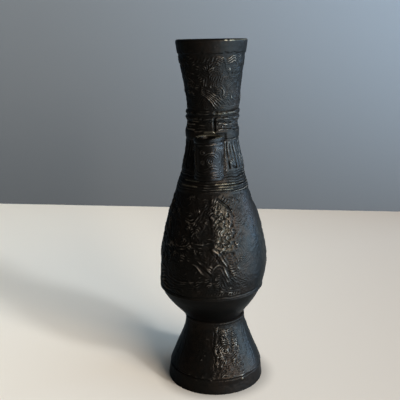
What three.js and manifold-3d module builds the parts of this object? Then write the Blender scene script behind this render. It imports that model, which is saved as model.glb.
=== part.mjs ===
// A small bronze arrow vase: a flared hollow foot, a plain bowl, a pear-shaped
// body, a ringed neck with two tubular ears, and a trumpet mouth. The sections
// are cast one by one, lap over each other on short spigots and are soldered.
// Millimetres, +Z up, origin at the centre of the standing ring, ears on Y.

import * as THREE from "three";
import { mergeVertices } from "three/addons/utils/BufferGeometryUtils.js";
import Module from "manifold-3d";

const wasm = await Module();
wasm.setup();

// Whole vase: the body's shoulder takes up the height that the other parts leave
const VASE_HEIGHT = 150;

// Foot
const FOOT_RADIUS = 21.3;
const FOOT_BAND_HEIGHT = 6.3;
const FOOT_BAND_TAPER = 0.55;
const FOOT_GROOVE_WIDTH = 0.7;
const FOOT_GROOVE_DEPTH = 0.45;
const FOOT_FLARE_HEIGHT = 21.8;
const FOOT_WALL = 2;
const FOOT_FLARE_DRAW = 1.9;
const FOOT_FLARE_RISE = 5.5;
const FOOT_FLARE_SWELL = 0.5;
const FOOT_FLARE_DROP = 6.5;
const WAIST_RADIUS = 13;
const WAIST_BEAD_HEIGHT = 1.2;
const WAIST_BEAD_DEPTH = 0.45;

// Bowl
const BOWL_HEIGHT = 14.2;
const BOWL_WALL = 2.1;
const BOWL_SETBACK = 0.3;
const BOWL_TURN_OUT = 2.9;
const BOWL_TURN_RISE = 3.8;
const BOWL_TUCK_IN = 1;
const BOWL_TUCK_DROP = 4.6;
const SEAM_RADIUS = 22.4;
const FLOOR_FLANGE = 2.7;
const FLOOR_LEDGE = 1.4;
const FLOOR_LEDGE_THICKNESS = 1.1;
const FLOOR_PLATE_THICKNESS = 1.1;

// Body
const BODY_WALL = 2.2;
const BODY_OVERHANG = 0.4;
const BELLY_RADIUS = 23.4;
const BELLY_HEIGHT = 9.8;
const SEAM_PULL_UP = 2;
const BELLY_PULL_DOWN = 4;
const BELLY_PULL_UP = 12;
const SHOULDER_RADIUS = 15.5;
const SHOULDER_PULL_OUT = 2.4;
const SHOULDER_PULL_DOWN = 8.5;
const SHOULDER_WALL = 2.6;

// Neck
const NECK_SETBACK = 0.1;
const NECK_BORE_FLARE = 10;
const NECK_SHOULDER_STRIP = 1.25;
const LOWER_RINGS = 3;
const LOWER_RING_PITCH = 1.75;
const RING_HEIGHT = 1.7;
const RING_DEPTH = 0.5;
const NECK_ROOT_RADIUS = 13.1;
const NECK_SWEEP_HEIGHT = 15.1;
const NECK_SWEEP_PULL = 5;
const NECK_SWEEP_LEAN = 0.4;
const NECK_RADIUS = 10.9;
const COLLAR_HEIGHT = 4.8;
const COLLAR_DEPTH = 0.4;
const COLLAR_BEVEL = 0.4;
const COLLAR_STRIP = 2.6;
const COLLAR_STRIP_DEPTH = 0.35;
const UPPER_RINGS = 2;
const UPPER_RING_PITCH = 2.3;
const NECK_TOP_RADIUS = 10.75;
const NECK_SOCKET_WALL = 0.6;

// Mouth
const TRUMPET_HEIGHT = 22.4;
const MOUTH_RADIUS = 13.7;
const MOUTH_WALL = 1.7;
const MOUTH_PULL_UP = 7;
const MOUTH_PULL_DOWN = 6.3;
const MOUTH_PULL_IN = 1.1;
const LIP_HEIGHT = 5.6;
const LIP_STEP = 0.4;
const LIP_FLARE = 0.6;
const LIP_ROUND = 0.5;

// Soldered spigots
const SPIGOT_LENGTH = 3.5;
const SPIGOT_WALL = 1.4;
const MOUTH_SPIGOT_LENGTH = 2.6;
const MOUTH_SPIGOT_WALL = 0.9;
const SPIGOT_RELIEF = 0.5;
const SOLDER_FILM = 0.4;

// Ears
const EAR_HEIGHT = 16.5;
const EAR_RISE = 7.1;
const EAR_RADIUS = 6;
const EAR_WALL = 1.4;
const EAR_STANDOFF = 0.4;
const EAR_RIM_HEIGHT = 1.3;
const EAR_RIM_DEPTH = 0.3;
const EAR_GAP = 0.3;

// Rivets that hold the ears to the neck
const RIVET_RADIUS = 1;
const RIVET_HEAD_RADIUS = 1.7;
const RIVET_HEAD_THICKNESS = 0.7;
const RIVET_CLEARANCE = 0.15;
const RIVET_SEAT_GAP = 0.05;
const UPPER_RIVET_DROP = 4.2;
const LOWER_RIVET_RISE = 5.6;

// Facets
const TURN_SEGMENTS = 40;
const EAR_SEGMENTS = 32;
const RIVET_SEGMENTS = 16;
const CURVE_STEPS = 8;
const SHORT_CURVE_STEPS = 4;
const ROUND_STEPS = 4;

// Heights of the sections and their levels
const grooveTop = FOOT_BAND_HEIGHT + FOOT_GROOVE_WIDTH;
const flareTop = grooveTop + FOOT_FLARE_HEIGHT;
const footHeight = flareTop + WAIST_BEAD_HEIGHT;
const floorThickness = FLOOR_LEDGE_THICKNESS + FLOOR_PLATE_THICKNESS;
const neckRootHeight = NECK_SHOULDER_STRIP + LOWER_RINGS * LOWER_RING_PITCH;
const collarBottom = neckRootHeight + NECK_SWEEP_HEIGHT;
const collarTop = collarBottom + COLLAR_HEIGHT;
const upperRingsBottom = collarTop + COLLAR_STRIP;
const neckHeight = upperRingsBottom + UPPER_RINGS * UPPER_RING_PITCH;
const mouthHeight = TRUMPET_HEIGHT + LIP_HEIGHT;
const bodyHeight = VASE_HEIGHT - footHeight - BOWL_HEIGHT - neckHeight - mouthHeight;
const bowlLevel = footHeight;
const bodyLevel = bowlLevel + BOWL_HEIGHT;
const neckLevel = bodyLevel + bodyHeight;
const mouthLevel = neckLevel + neckHeight;

// Radii of the joints
const footBandTopRadius = FOOT_RADIUS - FOOT_BAND_TAPER;
const footBoreRadius = WAIST_RADIUS - FOOT_WALL;
const footSpigotRadius = footBoreRadius - SOLDER_FILM;
const floorHoleRadius = footSpigotRadius - SPIGOT_WALL - FLOOR_FLANGE;
const floorRebateRadius = floorHoleRadius + FLOOR_LEDGE;
const floorPlateRadius = floorRebateRadius - SOLDER_FILM;
const bodySeatRadius = SEAM_RADIUS + BODY_OVERHANG;
const bodyBoreRadius = bodySeatRadius - BODY_WALL;
const bodySpigotRadius = bodyBoreRadius - SOLDER_FILM;
const shoulderBoreRadius = SHOULDER_RADIUS - SHOULDER_WALL;
const neckSpigotRadius = shoulderBoreRadius - SOLDER_FILM;
const neckSocketRadius = NECK_TOP_RADIUS - NECK_SOCKET_WALL;
const mouthSpigotRadius = neckSocketRadius - SOLDER_FILM;
const neckBoreRadius = mouthSpigotRadius - MOUTH_SPIGOT_WALL;
const lipRadius = MOUTH_RADIUS + LIP_STEP + LIP_FLARE;
const earBoreRadius = EAR_RADIUS - EAR_WALL;
const earAxis = NECK_RADIUS + EAR_STANDOFF + EAR_RADIUS;

const patina = new THREE.MeshStandardMaterial({
  color: 0x2a2521,
  roughness: 0.5,
  metalness: 0.75,
});
const wornBronze = new THREE.MeshStandardMaterial({
  color: 0x3d3327,
  roughness: 0.42,
  metalness: 0.85,
});
const solder = new THREE.MeshStandardMaterial({
  color: 0x55534e,
  roughness: 0.6,
  metalness: 0.7,
});

const at = (radius, height) => new THREE.Vector2(radius, height);

function bezier(start, startPull, endPull, end, steps = CURVE_STEPS) {
  const curve = new THREE.CubicBezierCurve(start, startPull, endPull, end);
  return curve.getPoints(steps);
}

// A half-round ring: points that swell from the base radii at its two edges.
function ringPoints(bottom, top, depth) {
  const points = [];
  for (let step = 0; step <= ROUND_STEPS; step++) {
    const share = step / ROUND_STEPS;
    const point = bottom.clone().lerp(top, share);
    point.x += depth * Math.sin(Math.PI * share);
    points.push(point);
  }
  return points;
}

// The profile moved towards the axis by the wall, square to the surface.
function insideOf(points, wall) {
  return points.map((point, index) => {
    const before = points[Math.max(index - 1, 0)];
    const after = points[Math.min(index + 1, points.length - 1)];
    const along = after.clone().sub(before).normalize();
    return at(point.x - along.y * wall, point.y + along.x * wall);
  });
}

// The radius of an outline at a height, read along its straight stretches.
function radiusAt(points, height) {
  const next = points.findIndex((point) => point.y >= height);
  const upper = points[next];
  const lower = points[Math.max(next - 1, 0)];
  const span = upper.y - lower.y;
  const share = span > 0 ? (height - lower.y) / span : 0;
  return THREE.MathUtils.lerp(lower.x, upper.x, share);
}

function turned(profile, segments = TURN_SEGMENTS) {
  const closed = [...profile, profile[0].clone()];
  return new THREE.LatheGeometry(closed, segments).rotateX(Math.PI / 2);
}

function solidOf(geometry) {
  const bare = geometry.clone();
  bare.deleteAttribute("normal");
  bare.deleteAttribute("uv");
  const merged = mergeVertices(bare);
  return new wasm.Manifold(
    new wasm.Mesh({
      numProp: 3,
      vertProperties: merged.attributes.position.array,
      triVerts: new Uint32Array(merged.index.array),
    }),
  );
}

function geometryOf(solid) {
  const mesh = solid.getMesh();
  const geometry = new THREE.BufferGeometry();
  const positions = new THREE.BufferAttribute(mesh.vertProperties, 3);
  geometry.setAttribute("position", positions);
  geometry.setIndex(new THREE.BufferAttribute(mesh.triVerts, 1));
  geometry.computeVertexNormals();
  return geometry;
}

function piece(name, geometry, material, level = 0) {
  const mesh = new THREE.Mesh(geometry, material);
  mesh.name = name;
  mesh.position.z = level;
  return mesh;
}

// Foot: a standing band, a groove, a flare up to the waist and a bead.
function footGeometry() {
  const boreBottom = footHeight - SPIGOT_LENGTH - SPIGOT_RELIEF;
  const flare = bezier(
    at(footBandTopRadius, grooveTop),
    at(footBandTopRadius - FOOT_FLARE_DRAW, grooveTop + FOOT_FLARE_RISE),
    at(WAIST_RADIUS + FOOT_FLARE_SWELL, flareTop - FOOT_FLARE_DROP),
    at(WAIST_RADIUS, flareTop),
  );
  const hollow = flare
    .map((point) => at(point.x - FOOT_WALL, point.y))
    .filter((point) => point.y < boreBottom)
    .reverse();
  return turned([
    at(FOOT_RADIUS, 0),
    at(footBandTopRadius, FOOT_BAND_HEIGHT),
    at(footBandTopRadius - FOOT_GROOVE_DEPTH, FOOT_BAND_HEIGHT + FOOT_GROOVE_WIDTH / 2),
    ...flare.slice(0, -1),
    ...ringPoints(at(WAIST_RADIUS, flareTop), at(WAIST_RADIUS, footHeight), WAIST_BEAD_DEPTH),
    at(footBoreRadius, footHeight),
    at(footBoreRadius, boreBottom),
    ...hollow,
    at(FOOT_RADIUS - FOOT_WALL, 0),
  ]);
}

// Bowl: its lower spigot drops into the foot, its upper one rises into the body,
// and a rebate in its floor takes the plate that closes the core hole.
function bowlGeometry() {
  const seat = at(WAIST_RADIUS - BOWL_SETBACK, 0);
  const seam = at(SEAM_RADIUS, BOWL_HEIGHT);
  const outside = bezier(
    seat,
    at(seat.x + BOWL_TURN_OUT, BOWL_TURN_RISE),
    at(SEAM_RADIUS - BOWL_TUCK_IN, BOWL_HEIGHT - BOWL_TUCK_DROP),
    seam,
  );
  const spigotBore = bodySpigotRadius - SPIGOT_WALL;
  const inside = insideOf(outside, BOWL_WALL)
    .filter((point) => point.y > floorThickness && point.x < spigotBore)
    .reverse();
  const lowest = inside[inside.length - 1];
  return turned([
    ...outside,
    at(bodySpigotRadius, BOWL_HEIGHT),
    at(bodySpigotRadius, BOWL_HEIGHT + SPIGOT_LENGTH),
    at(spigotBore, BOWL_HEIGHT + SPIGOT_LENGTH),
    at(spigotBore, inside[0].y + SPIGOT_RELIEF),
    ...inside,
    at(lowest.x - SPIGOT_RELIEF, floorThickness),
    at(floorRebateRadius, floorThickness),
    at(floorRebateRadius, FLOOR_LEDGE_THICKNESS),
    at(floorHoleRadius, FLOOR_LEDGE_THICKNESS),
    at(floorHoleRadius, 0),
    at(footSpigotRadius - SPIGOT_WALL, 0),
    at(footSpigotRadius - SPIGOT_WALL, -SPIGOT_LENGTH),
    at(footSpigotRadius, -SPIGOT_LENGTH),
    at(footSpigotRadius, 0),
  ]);
}

// Body: a pear-shaped shell with a straight socket at each end.
function bodyGeometry() {
  const belly = at(BELLY_RADIUS, BELLY_HEIGHT);
  const lower = bezier(
    at(bodySeatRadius, 0),
    at(bodySeatRadius, SEAM_PULL_UP),
    at(BELLY_RADIUS, BELLY_HEIGHT - BELLY_PULL_DOWN),
    belly,
    SHORT_CURVE_STEPS,
  );
  const upper = bezier(
    belly,
    at(BELLY_RADIUS, BELLY_HEIGHT + BELLY_PULL_UP),
    at(SHOULDER_RADIUS + SHOULDER_PULL_OUT, bodyHeight - SHOULDER_PULL_DOWN),
    at(SHOULDER_RADIUS, bodyHeight),
  );
  const outside = [...lower.slice(0, -1), ...upper];
  const socketTop = SPIGOT_LENGTH + SPIGOT_RELIEF;
  const socketBottom = bodyHeight - SPIGOT_LENGTH - SPIGOT_RELIEF;
  const inside = insideOf(outside, BODY_WALL)
    .filter((point) => point.y > socketTop && point.y < socketBottom)
    .reverse();
  return turned([
    ...outside,
    at(shoulderBoreRadius, bodyHeight),
    at(shoulderBoreRadius, socketBottom),
    ...inside,
    at(bodyBoreRadius, socketTop),
    at(bodyBoreRadius, 0),
  ]);
}

// The neck's outside, from the shoulder up: rings, a sweep inwards, a raised
// collar and two more rings below the mouth.
function neckOutline() {
  const core = [
    at(SHOULDER_RADIUS - NECK_SETBACK, 0),
    at(NECK_ROOT_RADIUS, neckRootHeight),
    at(NECK_RADIUS, collarBottom),
    at(NECK_TOP_RADIUS, neckHeight),
  ];
  const onCore = (height) => at(radiusAt(core, height), height);
  const ringAt = (middle) =>
    ringPoints(onCore(middle - RING_HEIGHT / 2), onCore(middle + RING_HEIGHT / 2), RING_DEPTH);
  const points = [core[0]];
  for (let ring = 0; ring < LOWER_RINGS; ring++) {
    points.push(...ringAt(NECK_SHOULDER_STRIP + (ring + 0.5) * LOWER_RING_PITCH));
  }
  points.push(
    ...bezier(
      core[1],
      at(NECK_ROOT_RADIUS - NECK_SWEEP_LEAN, neckRootHeight + NECK_SWEEP_PULL),
      at(NECK_RADIUS, collarBottom - NECK_SWEEP_PULL),
      core[2],
    ),
  );
  const offCore = (height, depth) => at(onCore(height).x + depth, height);
  points.push(
    offCore(collarBottom + COLLAR_BEVEL, COLLAR_DEPTH),
    offCore(collarTop - COLLAR_BEVEL, COLLAR_DEPTH),
    offCore(collarTop, -COLLAR_STRIP_DEPTH),
    offCore(upperRingsBottom, -COLLAR_STRIP_DEPTH),
  );
  for (let ring = 0; ring < UPPER_RINGS; ring++) {
    points.push(...ringAt(upperRingsBottom + (ring + 0.5) * UPPER_RING_PITCH));
  }
  points.push(core[3]);
  return points;
}

// The heights, on the neck, of the rivets of one ear.
const rivetHeights = {
  upper: EAR_RISE + EAR_HEIGHT - UPPER_RIVET_DROP,
  lower: EAR_RISE + LOWER_RIVET_RISE,
};

function rivetHole(height) {
  const radius = RIVET_RADIUS + RIVET_CLEARANCE;
  const reach = earAxis;
  return new THREE.CylinderGeometry(radius, radius, reach, RIVET_SEGMENTS)
    .translate(0, -reach / 2, height);
}

function drilled(solid, turns) {
  let result = solid;
  for (const height of Object.values(rivetHeights)) {
    for (const turn of turns) {
      result = result.subtract(solidOf(rivetHole(height).rotateZ(turn)));
    }
  }
  return result;
}

// Neck: a socket above for the mouth, a spigot below for the body.
function neckGeometry() {
  const spigotBore = neckSpigotRadius - SPIGOT_WALL;
  const socketBottom = neckHeight - MOUTH_SPIGOT_LENGTH - SPIGOT_RELIEF;
  const profile = [
    ...neckOutline(),
    at(neckSocketRadius, neckHeight),
    at(neckSocketRadius, socketBottom),
    at(neckBoreRadius, socketBottom),
    at(neckBoreRadius, NECK_BORE_FLARE),
    at(spigotBore, 0),
    at(spigotBore, -SPIGOT_LENGTH),
    at(neckSpigotRadius, -SPIGOT_LENGTH),
    at(neckSpigotRadius, 0),
  ];
  return geometryOf(drilled(solidOf(turned(profile)), [0, Math.PI]));
}

// Mouth: a trumpet with a plain stepped lip and a spigot below.
function mouthGeometry() {
  const trumpet = bezier(
    at(NECK_TOP_RADIUS, 0),
    at(NECK_TOP_RADIUS, MOUTH_PULL_UP),
    at(MOUTH_RADIUS - MOUTH_PULL_IN, TRUMPET_HEIGHT - MOUTH_PULL_DOWN),
    at(MOUTH_RADIUS, TRUMPET_HEIGHT),
  );
  const inside = trumpet
    .map((point) => at(point.x - MOUTH_WALL, point.y))
    .filter((point) => point.y > SPIGOT_RELIEF)
    .reverse();
  return turned([
    ...trumpet,
    at(MOUTH_RADIUS + LIP_STEP, TRUMPET_HEIGHT + LIP_STEP),
    at(lipRadius, mouthHeight - LIP_ROUND),
    at(lipRadius - LIP_ROUND, mouthHeight),
    at(lipRadius - MOUTH_WALL, mouthHeight),
    ...inside,
    at(neckBoreRadius, 0),
    at(neckBoreRadius, -MOUTH_SPIGOT_LENGTH),
    at(mouthSpigotRadius, -MOUTH_SPIGOT_LENGTH),
    at(mouthSpigotRadius, 0),
  ]);
}

function floorPlateGeometry() {
  return turned([
    at(0, 0),
    at(floorPlateRadius, 0),
    at(floorPlateRadius, FLOOR_PLATE_THICKNESS),
    at(0, FLOOR_PLATE_THICKNESS),
  ]);
}

// A solder ring fills the film between a spigot and its socket.
function solderRing(innerRadius, length) {
  const outerRadius = innerRadius + SOLDER_FILM;
  return turned([
    at(innerRadius, 0),
    at(outerRadius, 0),
    at(outerRadius, length),
    at(innerRadius, length),
  ]);
}

// Ear: an upright tube with a rim at each end, its back cut to the neck's sweep.
function earGeometry() {
  const rimRadius = EAR_RADIUS + EAR_RIM_DEPTH;
  const rimSlope = EAR_RIM_HEIGHT + EAR_RIM_DEPTH;
  const tube = turned(
    [
      at(rimRadius, 0),
      at(rimRadius, EAR_RIM_HEIGHT),
      at(EAR_RADIUS, rimSlope),
      at(EAR_RADIUS, EAR_HEIGHT - rimSlope),
      at(rimRadius, EAR_HEIGHT - EAR_RIM_HEIGHT),
      at(rimRadius, EAR_HEIGHT),
      at(earBoreRadius, EAR_HEIGHT),
      at(earBoreRadius, 0),
    ],
    EAR_SEGMENTS,
  ).translate(0, -earAxis, EAR_RISE);
  const outline = neckOutline();
  const envelope = turned([
    at(0, 0),
    ...outline.map((point) => at(point.x + EAR_GAP, point.y)),
    at(0, neckHeight),
  ]);
  const saddled = solidOf(tube).subtract(solidOf(envelope));
  return geometryOf(drilled(saddled, [0]));
}

// Rivet: a shank through the neck wall and the ear's back, headed at both ends.
function rivetGeometry(height) {
  const besideBore = (bore) => Math.sqrt(bore * bore - RIVET_HEAD_RADIUS * RIVET_HEAD_RADIUS);
  const earBack = earAxis - besideBore(earBoreRadius);
  const neckFace = radiusAt(neckOutline(), height) + EAR_GAP;
  const outerSeat = Math.max(earBack, neckFace) + RIVET_SEAT_GAP;
  const innerSeat = besideBore(neckBoreRadius) - RIVET_SEAT_GAP;
  const profile = [
    at(0, -outerSeat - RIVET_HEAD_THICKNESS),
    at(RIVET_HEAD_RADIUS, -outerSeat - RIVET_HEAD_THICKNESS),
    at(RIVET_HEAD_RADIUS, -outerSeat),
    at(RIVET_RADIUS, -outerSeat),
    at(RIVET_RADIUS, -innerSeat),
    at(RIVET_HEAD_RADIUS, -innerSeat),
    at(RIVET_HEAD_RADIUS, -innerSeat + RIVET_HEAD_THICKNESS),
    at(0, -innerSeat + RIVET_HEAD_THICKNESS),
  ];
  return new THREE.LatheGeometry(profile, RIVET_SEGMENTS).translate(0, 0, height);
}

// One ear with its two rivets, turned about the vase's axis to its side.
function earGroup(side, turn) {
  const group = new THREE.Group();
  group.add(piece(`${side}_ear`, earGeometry(), wornBronze));
  for (const [place, height] of Object.entries(rivetHeights)) {
    group.add(piece(`${side}_ear_${place}_rivet`, rivetGeometry(height), wornBronze));
  }
  group.rotation.z = turn;
  group.position.z = neckLevel;
  return group;
}

const vase = new THREE.Group();
vase.add(
  piece("foot", footGeometry(), patina),
  piece("foot_joint_solder", solderRing(footSpigotRadius, SPIGOT_LENGTH), solder,
    bowlLevel - SPIGOT_LENGTH),
  piece("bowl", bowlGeometry(), patina, bowlLevel),
  piece("floor_plate", floorPlateGeometry(), wornBronze, bowlLevel + FLOOR_LEDGE_THICKNESS),
  piece("floor_plate_solder", solderRing(floorPlateRadius, FLOOR_PLATE_THICKNESS), solder,
    bowlLevel + FLOOR_LEDGE_THICKNESS),
  piece("body_joint_solder", solderRing(bodySpigotRadius, SPIGOT_LENGTH), solder, bodyLevel),
  piece("body", bodyGeometry(), patina, bodyLevel),
  piece("neck_joint_solder", solderRing(neckSpigotRadius, SPIGOT_LENGTH), solder,
    neckLevel - SPIGOT_LENGTH),
  piece("neck", neckGeometry(), patina, neckLevel),
  earGroup("front", 0),
  earGroup("rear", Math.PI),
  piece("mouth_joint_solder", solderRing(mouthSpigotRadius, MOUTH_SPIGOT_LENGTH), solder,
    mouthLevel - MOUTH_SPIGOT_LENGTH),
  piece("mouth", mouthGeometry(), patina, mouthLevel),
);

export default vase;
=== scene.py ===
"""Dresses the packed arrow vase: cast relief, patina, stage, light and camera."""

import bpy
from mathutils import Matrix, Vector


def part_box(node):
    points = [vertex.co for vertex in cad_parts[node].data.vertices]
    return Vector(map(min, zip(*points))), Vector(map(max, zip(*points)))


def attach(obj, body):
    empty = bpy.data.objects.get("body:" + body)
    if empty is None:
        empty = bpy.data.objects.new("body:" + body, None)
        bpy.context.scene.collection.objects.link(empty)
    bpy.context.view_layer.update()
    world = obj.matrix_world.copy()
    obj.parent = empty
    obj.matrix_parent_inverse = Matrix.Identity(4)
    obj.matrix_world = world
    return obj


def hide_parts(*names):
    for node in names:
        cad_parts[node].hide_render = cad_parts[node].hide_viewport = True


bl_info = {
    "name": "Arrow Vase Dressing",
    "version": (1, 0, 0),
    "blender": (4, 5, 0),
    "location": "View3D > Sidebar > Arrow Vase",
    "description": "Models the cast relief and the patina of a small bronze arrow vase",
    "category": "Object",
}

import math
from collections import namedtuple
from types import SimpleNamespace

import bpy
import numpy as np
from bpy.props import FloatProperty, FloatVectorProperty, IntProperty, PointerProperty
from mathutils import Matrix, Vector

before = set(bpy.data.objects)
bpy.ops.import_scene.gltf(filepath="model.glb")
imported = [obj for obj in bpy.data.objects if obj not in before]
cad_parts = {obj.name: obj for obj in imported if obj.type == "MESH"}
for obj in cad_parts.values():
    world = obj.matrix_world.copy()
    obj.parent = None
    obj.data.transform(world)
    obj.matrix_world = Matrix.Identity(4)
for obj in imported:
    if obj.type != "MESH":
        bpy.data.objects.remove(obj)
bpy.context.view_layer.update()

# Fixed values: lengths in millimetres and turns in degrees, where no comment says otherwise

MM = 0.001
IMAGE_SIDE = 400
SENSOR_WIDTH = 36.0
VIEW_TURN = 4.5
BLACK = (0.0, 0.0, 0.0)

# Turned meshes
CURVE_STEPS = 24
WELD = 0.004
SMOOTH_TURN = 50.0
SKIN_REACH = 0.05
BATCH = 4096

# Joints and rings
SOLDER_FILM = 0.4
SOCKET_GAP = 0.5
RING_START = 1.25
RING_PITCH = 1.75
UPPER_RING_PITCH = 2.3

# How far three skins lie outside or inside their solids, and how smooth the bowl's is, as shares
MOUTH_SWELL = 0.28
NECK_SWELL = 0.19
BOWL_SINK = 0.08
BOWL_RIPPLE = 0.3
BOWL_DENT = 0.6

# The tipped upper rim of an ear
RIM_DEPTH = 3.0
RIM_TIP = 0.4
RIM_RAISE = 0.4
RIM_CORNER = 45.0
RIM_CORNER_REACH = 70.0
RIM_CORNER_FALL = 1.3
RIM_CREST = 0.9
RIM_HOLE_RADIUS = 5.4
RIM_HOLE_SOFT = 0.5
RIM_SHIFT = 0.3
RIM_DRAW_IN = 0.08

# Strokes of the relief: how steeply they fall, the steps of arcs and scrolls, how far a scroll draws in
# and how far the fine lines lean
STROKE_FALL = 1.5
ARC_STEP = 20
SPIRAL_STEPS = 14
SPIRAL_DRAW_IN = 0.85
FEATHER_LEAN = (-80.0, 80.0)

# The aged skin: pits, the grains of its noises, and how broken its lines are, as shares
PIT_DEPTH = 0.13
PIT_WIDTHS = (0.5, 1.2)
AGE_GRAIN = 3.0
BREAK_GRAIN = 0.6
BREAK_SPREAD = 0.3
BREAK_LIMITS = (0.25, 1.5)
WANDER_GRAIN = 1.2
RIPPLE_GRAIN = 0.4
DENT_GRAIN = 4.0
EDGE_FADE = 0.6

# Wear and grime: over which lengths a spot is compared, from which height on it counts, and as what share
FINE_REACH = 0.8
BROAD_REACH = 5.0
BULGE_REACH = 0.9
BULGE_ROWS = 12
BULGE_WEAR = 0.45
RIDGE_START = 0.03
RIDGE_SPAN = 0.2
RIDGE_WEAR = 0.6
BROAD_START = 0.1
BROAD_SPAN = 0.25
BROAD_WEAR = 0.42
POCKET_START = 0.02
POCKET_SPAN = 0.14

# Rubbed stretches of the lip: start, end and share
RUBBED_LIP = (
    (20.0, 26.0, 0.52),
    (29.0, 38.0, 0.58),
    (38.0, 100.0, 0.42),
    (150.0, 185.0, 0.5),
    (250.0, 275.0, 0.5),
)

# Rubbed crests of the shoulder's rings: start, end, level and share, and half their height
RUBBED_RINGS = (
    (8.0, 46.0, 92.05, 0.37),
    (14.0, 52.0, 91.0, 0.36),
    (10.0, 40.0, 89.95, 0.34),
    (-52.0, -18.0, 93.1, 0.45),
    (-56.0, -20.0, 91.0, 0.45),
)
RUBBED_CREST = 0.35

# Floor and wall: the places, in metres, between which their painted light and shade change, and the shares
# of the change
FLOOR_PAINTED_LIGHT_DRIFT = (-0.25, 0.25)
# a painted pool of light on the floor right of the picture
FLOOR_PAINTED_POOL = (0.105, 0.14)
FLOOR_PAINTED_POOL_LEAN = 0.2
FLOOR_PAINTED_POOL_GAIN = 2.2
# painted shade on the floor in front of the picture
FLOOR_FRONT = (-0.1, -0.05)
FLOOR_FRONT_LEAN = 0.08
FLOOR_FRONT_PAINTED_SHADE = 0.75
# a painted contact shadow on the floor round the foot
FLOOR_PAINTED_SHADOW = (0.0205, 0.029)
FLOOR_PAINTED_SHADOW_DEPTH = 0.42
# painted light: the wall grows lighter to the right
WALL_PAINTED_LIGHT_DRIFT = (-0.2, 0.2)
# painted shade: the wall grows darker towards its foot
WALL_PAINTED_SHADE_RISE = (-0.1, 0.3)
WALL_FOOT_PAINTED_SHADE = 0.55

# Coats: wear, gloss and tone of the patina, then the weight, gloss and index of the film on it
Coat = namedtuple("Coat", "wear gloss tone film film_gloss film_bend")
COATS = {
    "cast_patina": Coat(0.9, 0.33, 1.0, 0.042, 0.5, 1.5),
    "smooth_patina": Coat(0.4, 0.4, 0.5, 0.34, 0.4, 1.2),
    "ear_patina": Coat(0.5, 0.22, 0.6, 0.09, 0.3, 1.5),
    "fitting_patina": Coat(0.5, 0.5, 1.6, 0.045, 0.6, 1.5),
}

# How far the sections stand out of line, to the right of the view: level and shift
LEAN = (
    (0.0, 0.1), (10.0, 0.4), (24.0, 0.6), (29.9, 0.2), (30.0, -0.4), (36.0, -1.0), (41.0, -1.3),
    (45.0, -1.2), (48.5, -0.7), (54.0, 0.0), (66.0, 0.1), (74.0, 0.1), (82.0, -0.2), (91.0, -0.28),
    (97.0, 0.05), (112.0, 0.05), (117.0, 0.2), (126.0, 0.48), (144.0, 0.05), (150.0, 0.05),
)

# What each lamp's properties are called after its name
LAMP_VALUES = ("colour", "width", "height", "distance", "azimuth", "rise")


def corners(node):
    """Lowest and highest corner of a CAD node, in millimetres."""
    low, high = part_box(node)
    return low / MM, high / MM


FOOT_RADIUS = corners("foot")[1].x
WAIST_LEVEL = corners("foot")[1].z
SEAM_RADIUS = corners("bowl")[1].x
SEAM_LEVEL = corners("body")[0].z
BELLY_RADIUS = corners("body")[1].x
SHOULDER_LEVEL = corners("body")[1].z
NECK_BASE_RADIUS = corners("neck")[1].x
NECK_TOP_LEVEL = corners("neck")[1].z
LIP_RADIUS = corners("mouth")[1].x
LIP_LEVEL = corners("mouth")[1].z
EAR_LOW, EAR_HIGH = corners("front_ear")
EAR_RIM_RADIUS = EAR_HIGH.x
EAR_AXIS = -EAR_LOW.y - EAR_RIM_RADIUS
REBATE_RADIUS = corners("floor_plate_solder")[1].x
FLOOR_LOW, FLOOR_HIGH = corners("floor_plate")
BOWL_LOW, BOWL_HIGH = corners("bowl")
FOOT_SPIGOT_RADIUS = corners("foot_joint_solder")[1].x
BODY_SPIGOT_RADIUS = corners("body_joint_solder")[1].x
NECK_SPIGOT_RADIUS = corners("neck_joint_solder")[1].x
MOUTH_SPIGOT_RADIUS = corners("mouth_joint_solder")[1].x
NECK_LOW_LEVEL = corners("neck")[0].z
MOUTH_LOW_LEVEL = corners("mouth")[0].z


# Properties

def length(name, description, millimetres):
    """A length property whose default is written in millimetres."""
    return FloatProperty(
        name=name, description=description, default=millimetres * MM, unit="LENGTH", precision=5
    )


def turn(name, description, degrees):
    """An angle property whose default is written in degrees."""
    return FloatProperty(
        name=name, description=description, default=math.radians(degrees), unit="ROTATION"
    )


def share(name, description, value):
    """A property between none and all."""
    return FloatProperty(
        name=name, description=description, default=value, min=0.0, max=1.0, subtype="FACTOR"
    )


def colour(name, description, red, green, blue):
    """A colour property, in linear light."""
    return FloatVectorProperty(
        name=name,
        description=description,
        default=(red, green, blue),
        min=0.0,
        max=1.0,
        size=3,
        subtype="COLOR",
    )


def power(name, description, watts):
    """A lamp's power property."""
    return FloatProperty(name=name, description=description, default=watts, min=0.0, unit="POWER")


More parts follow.
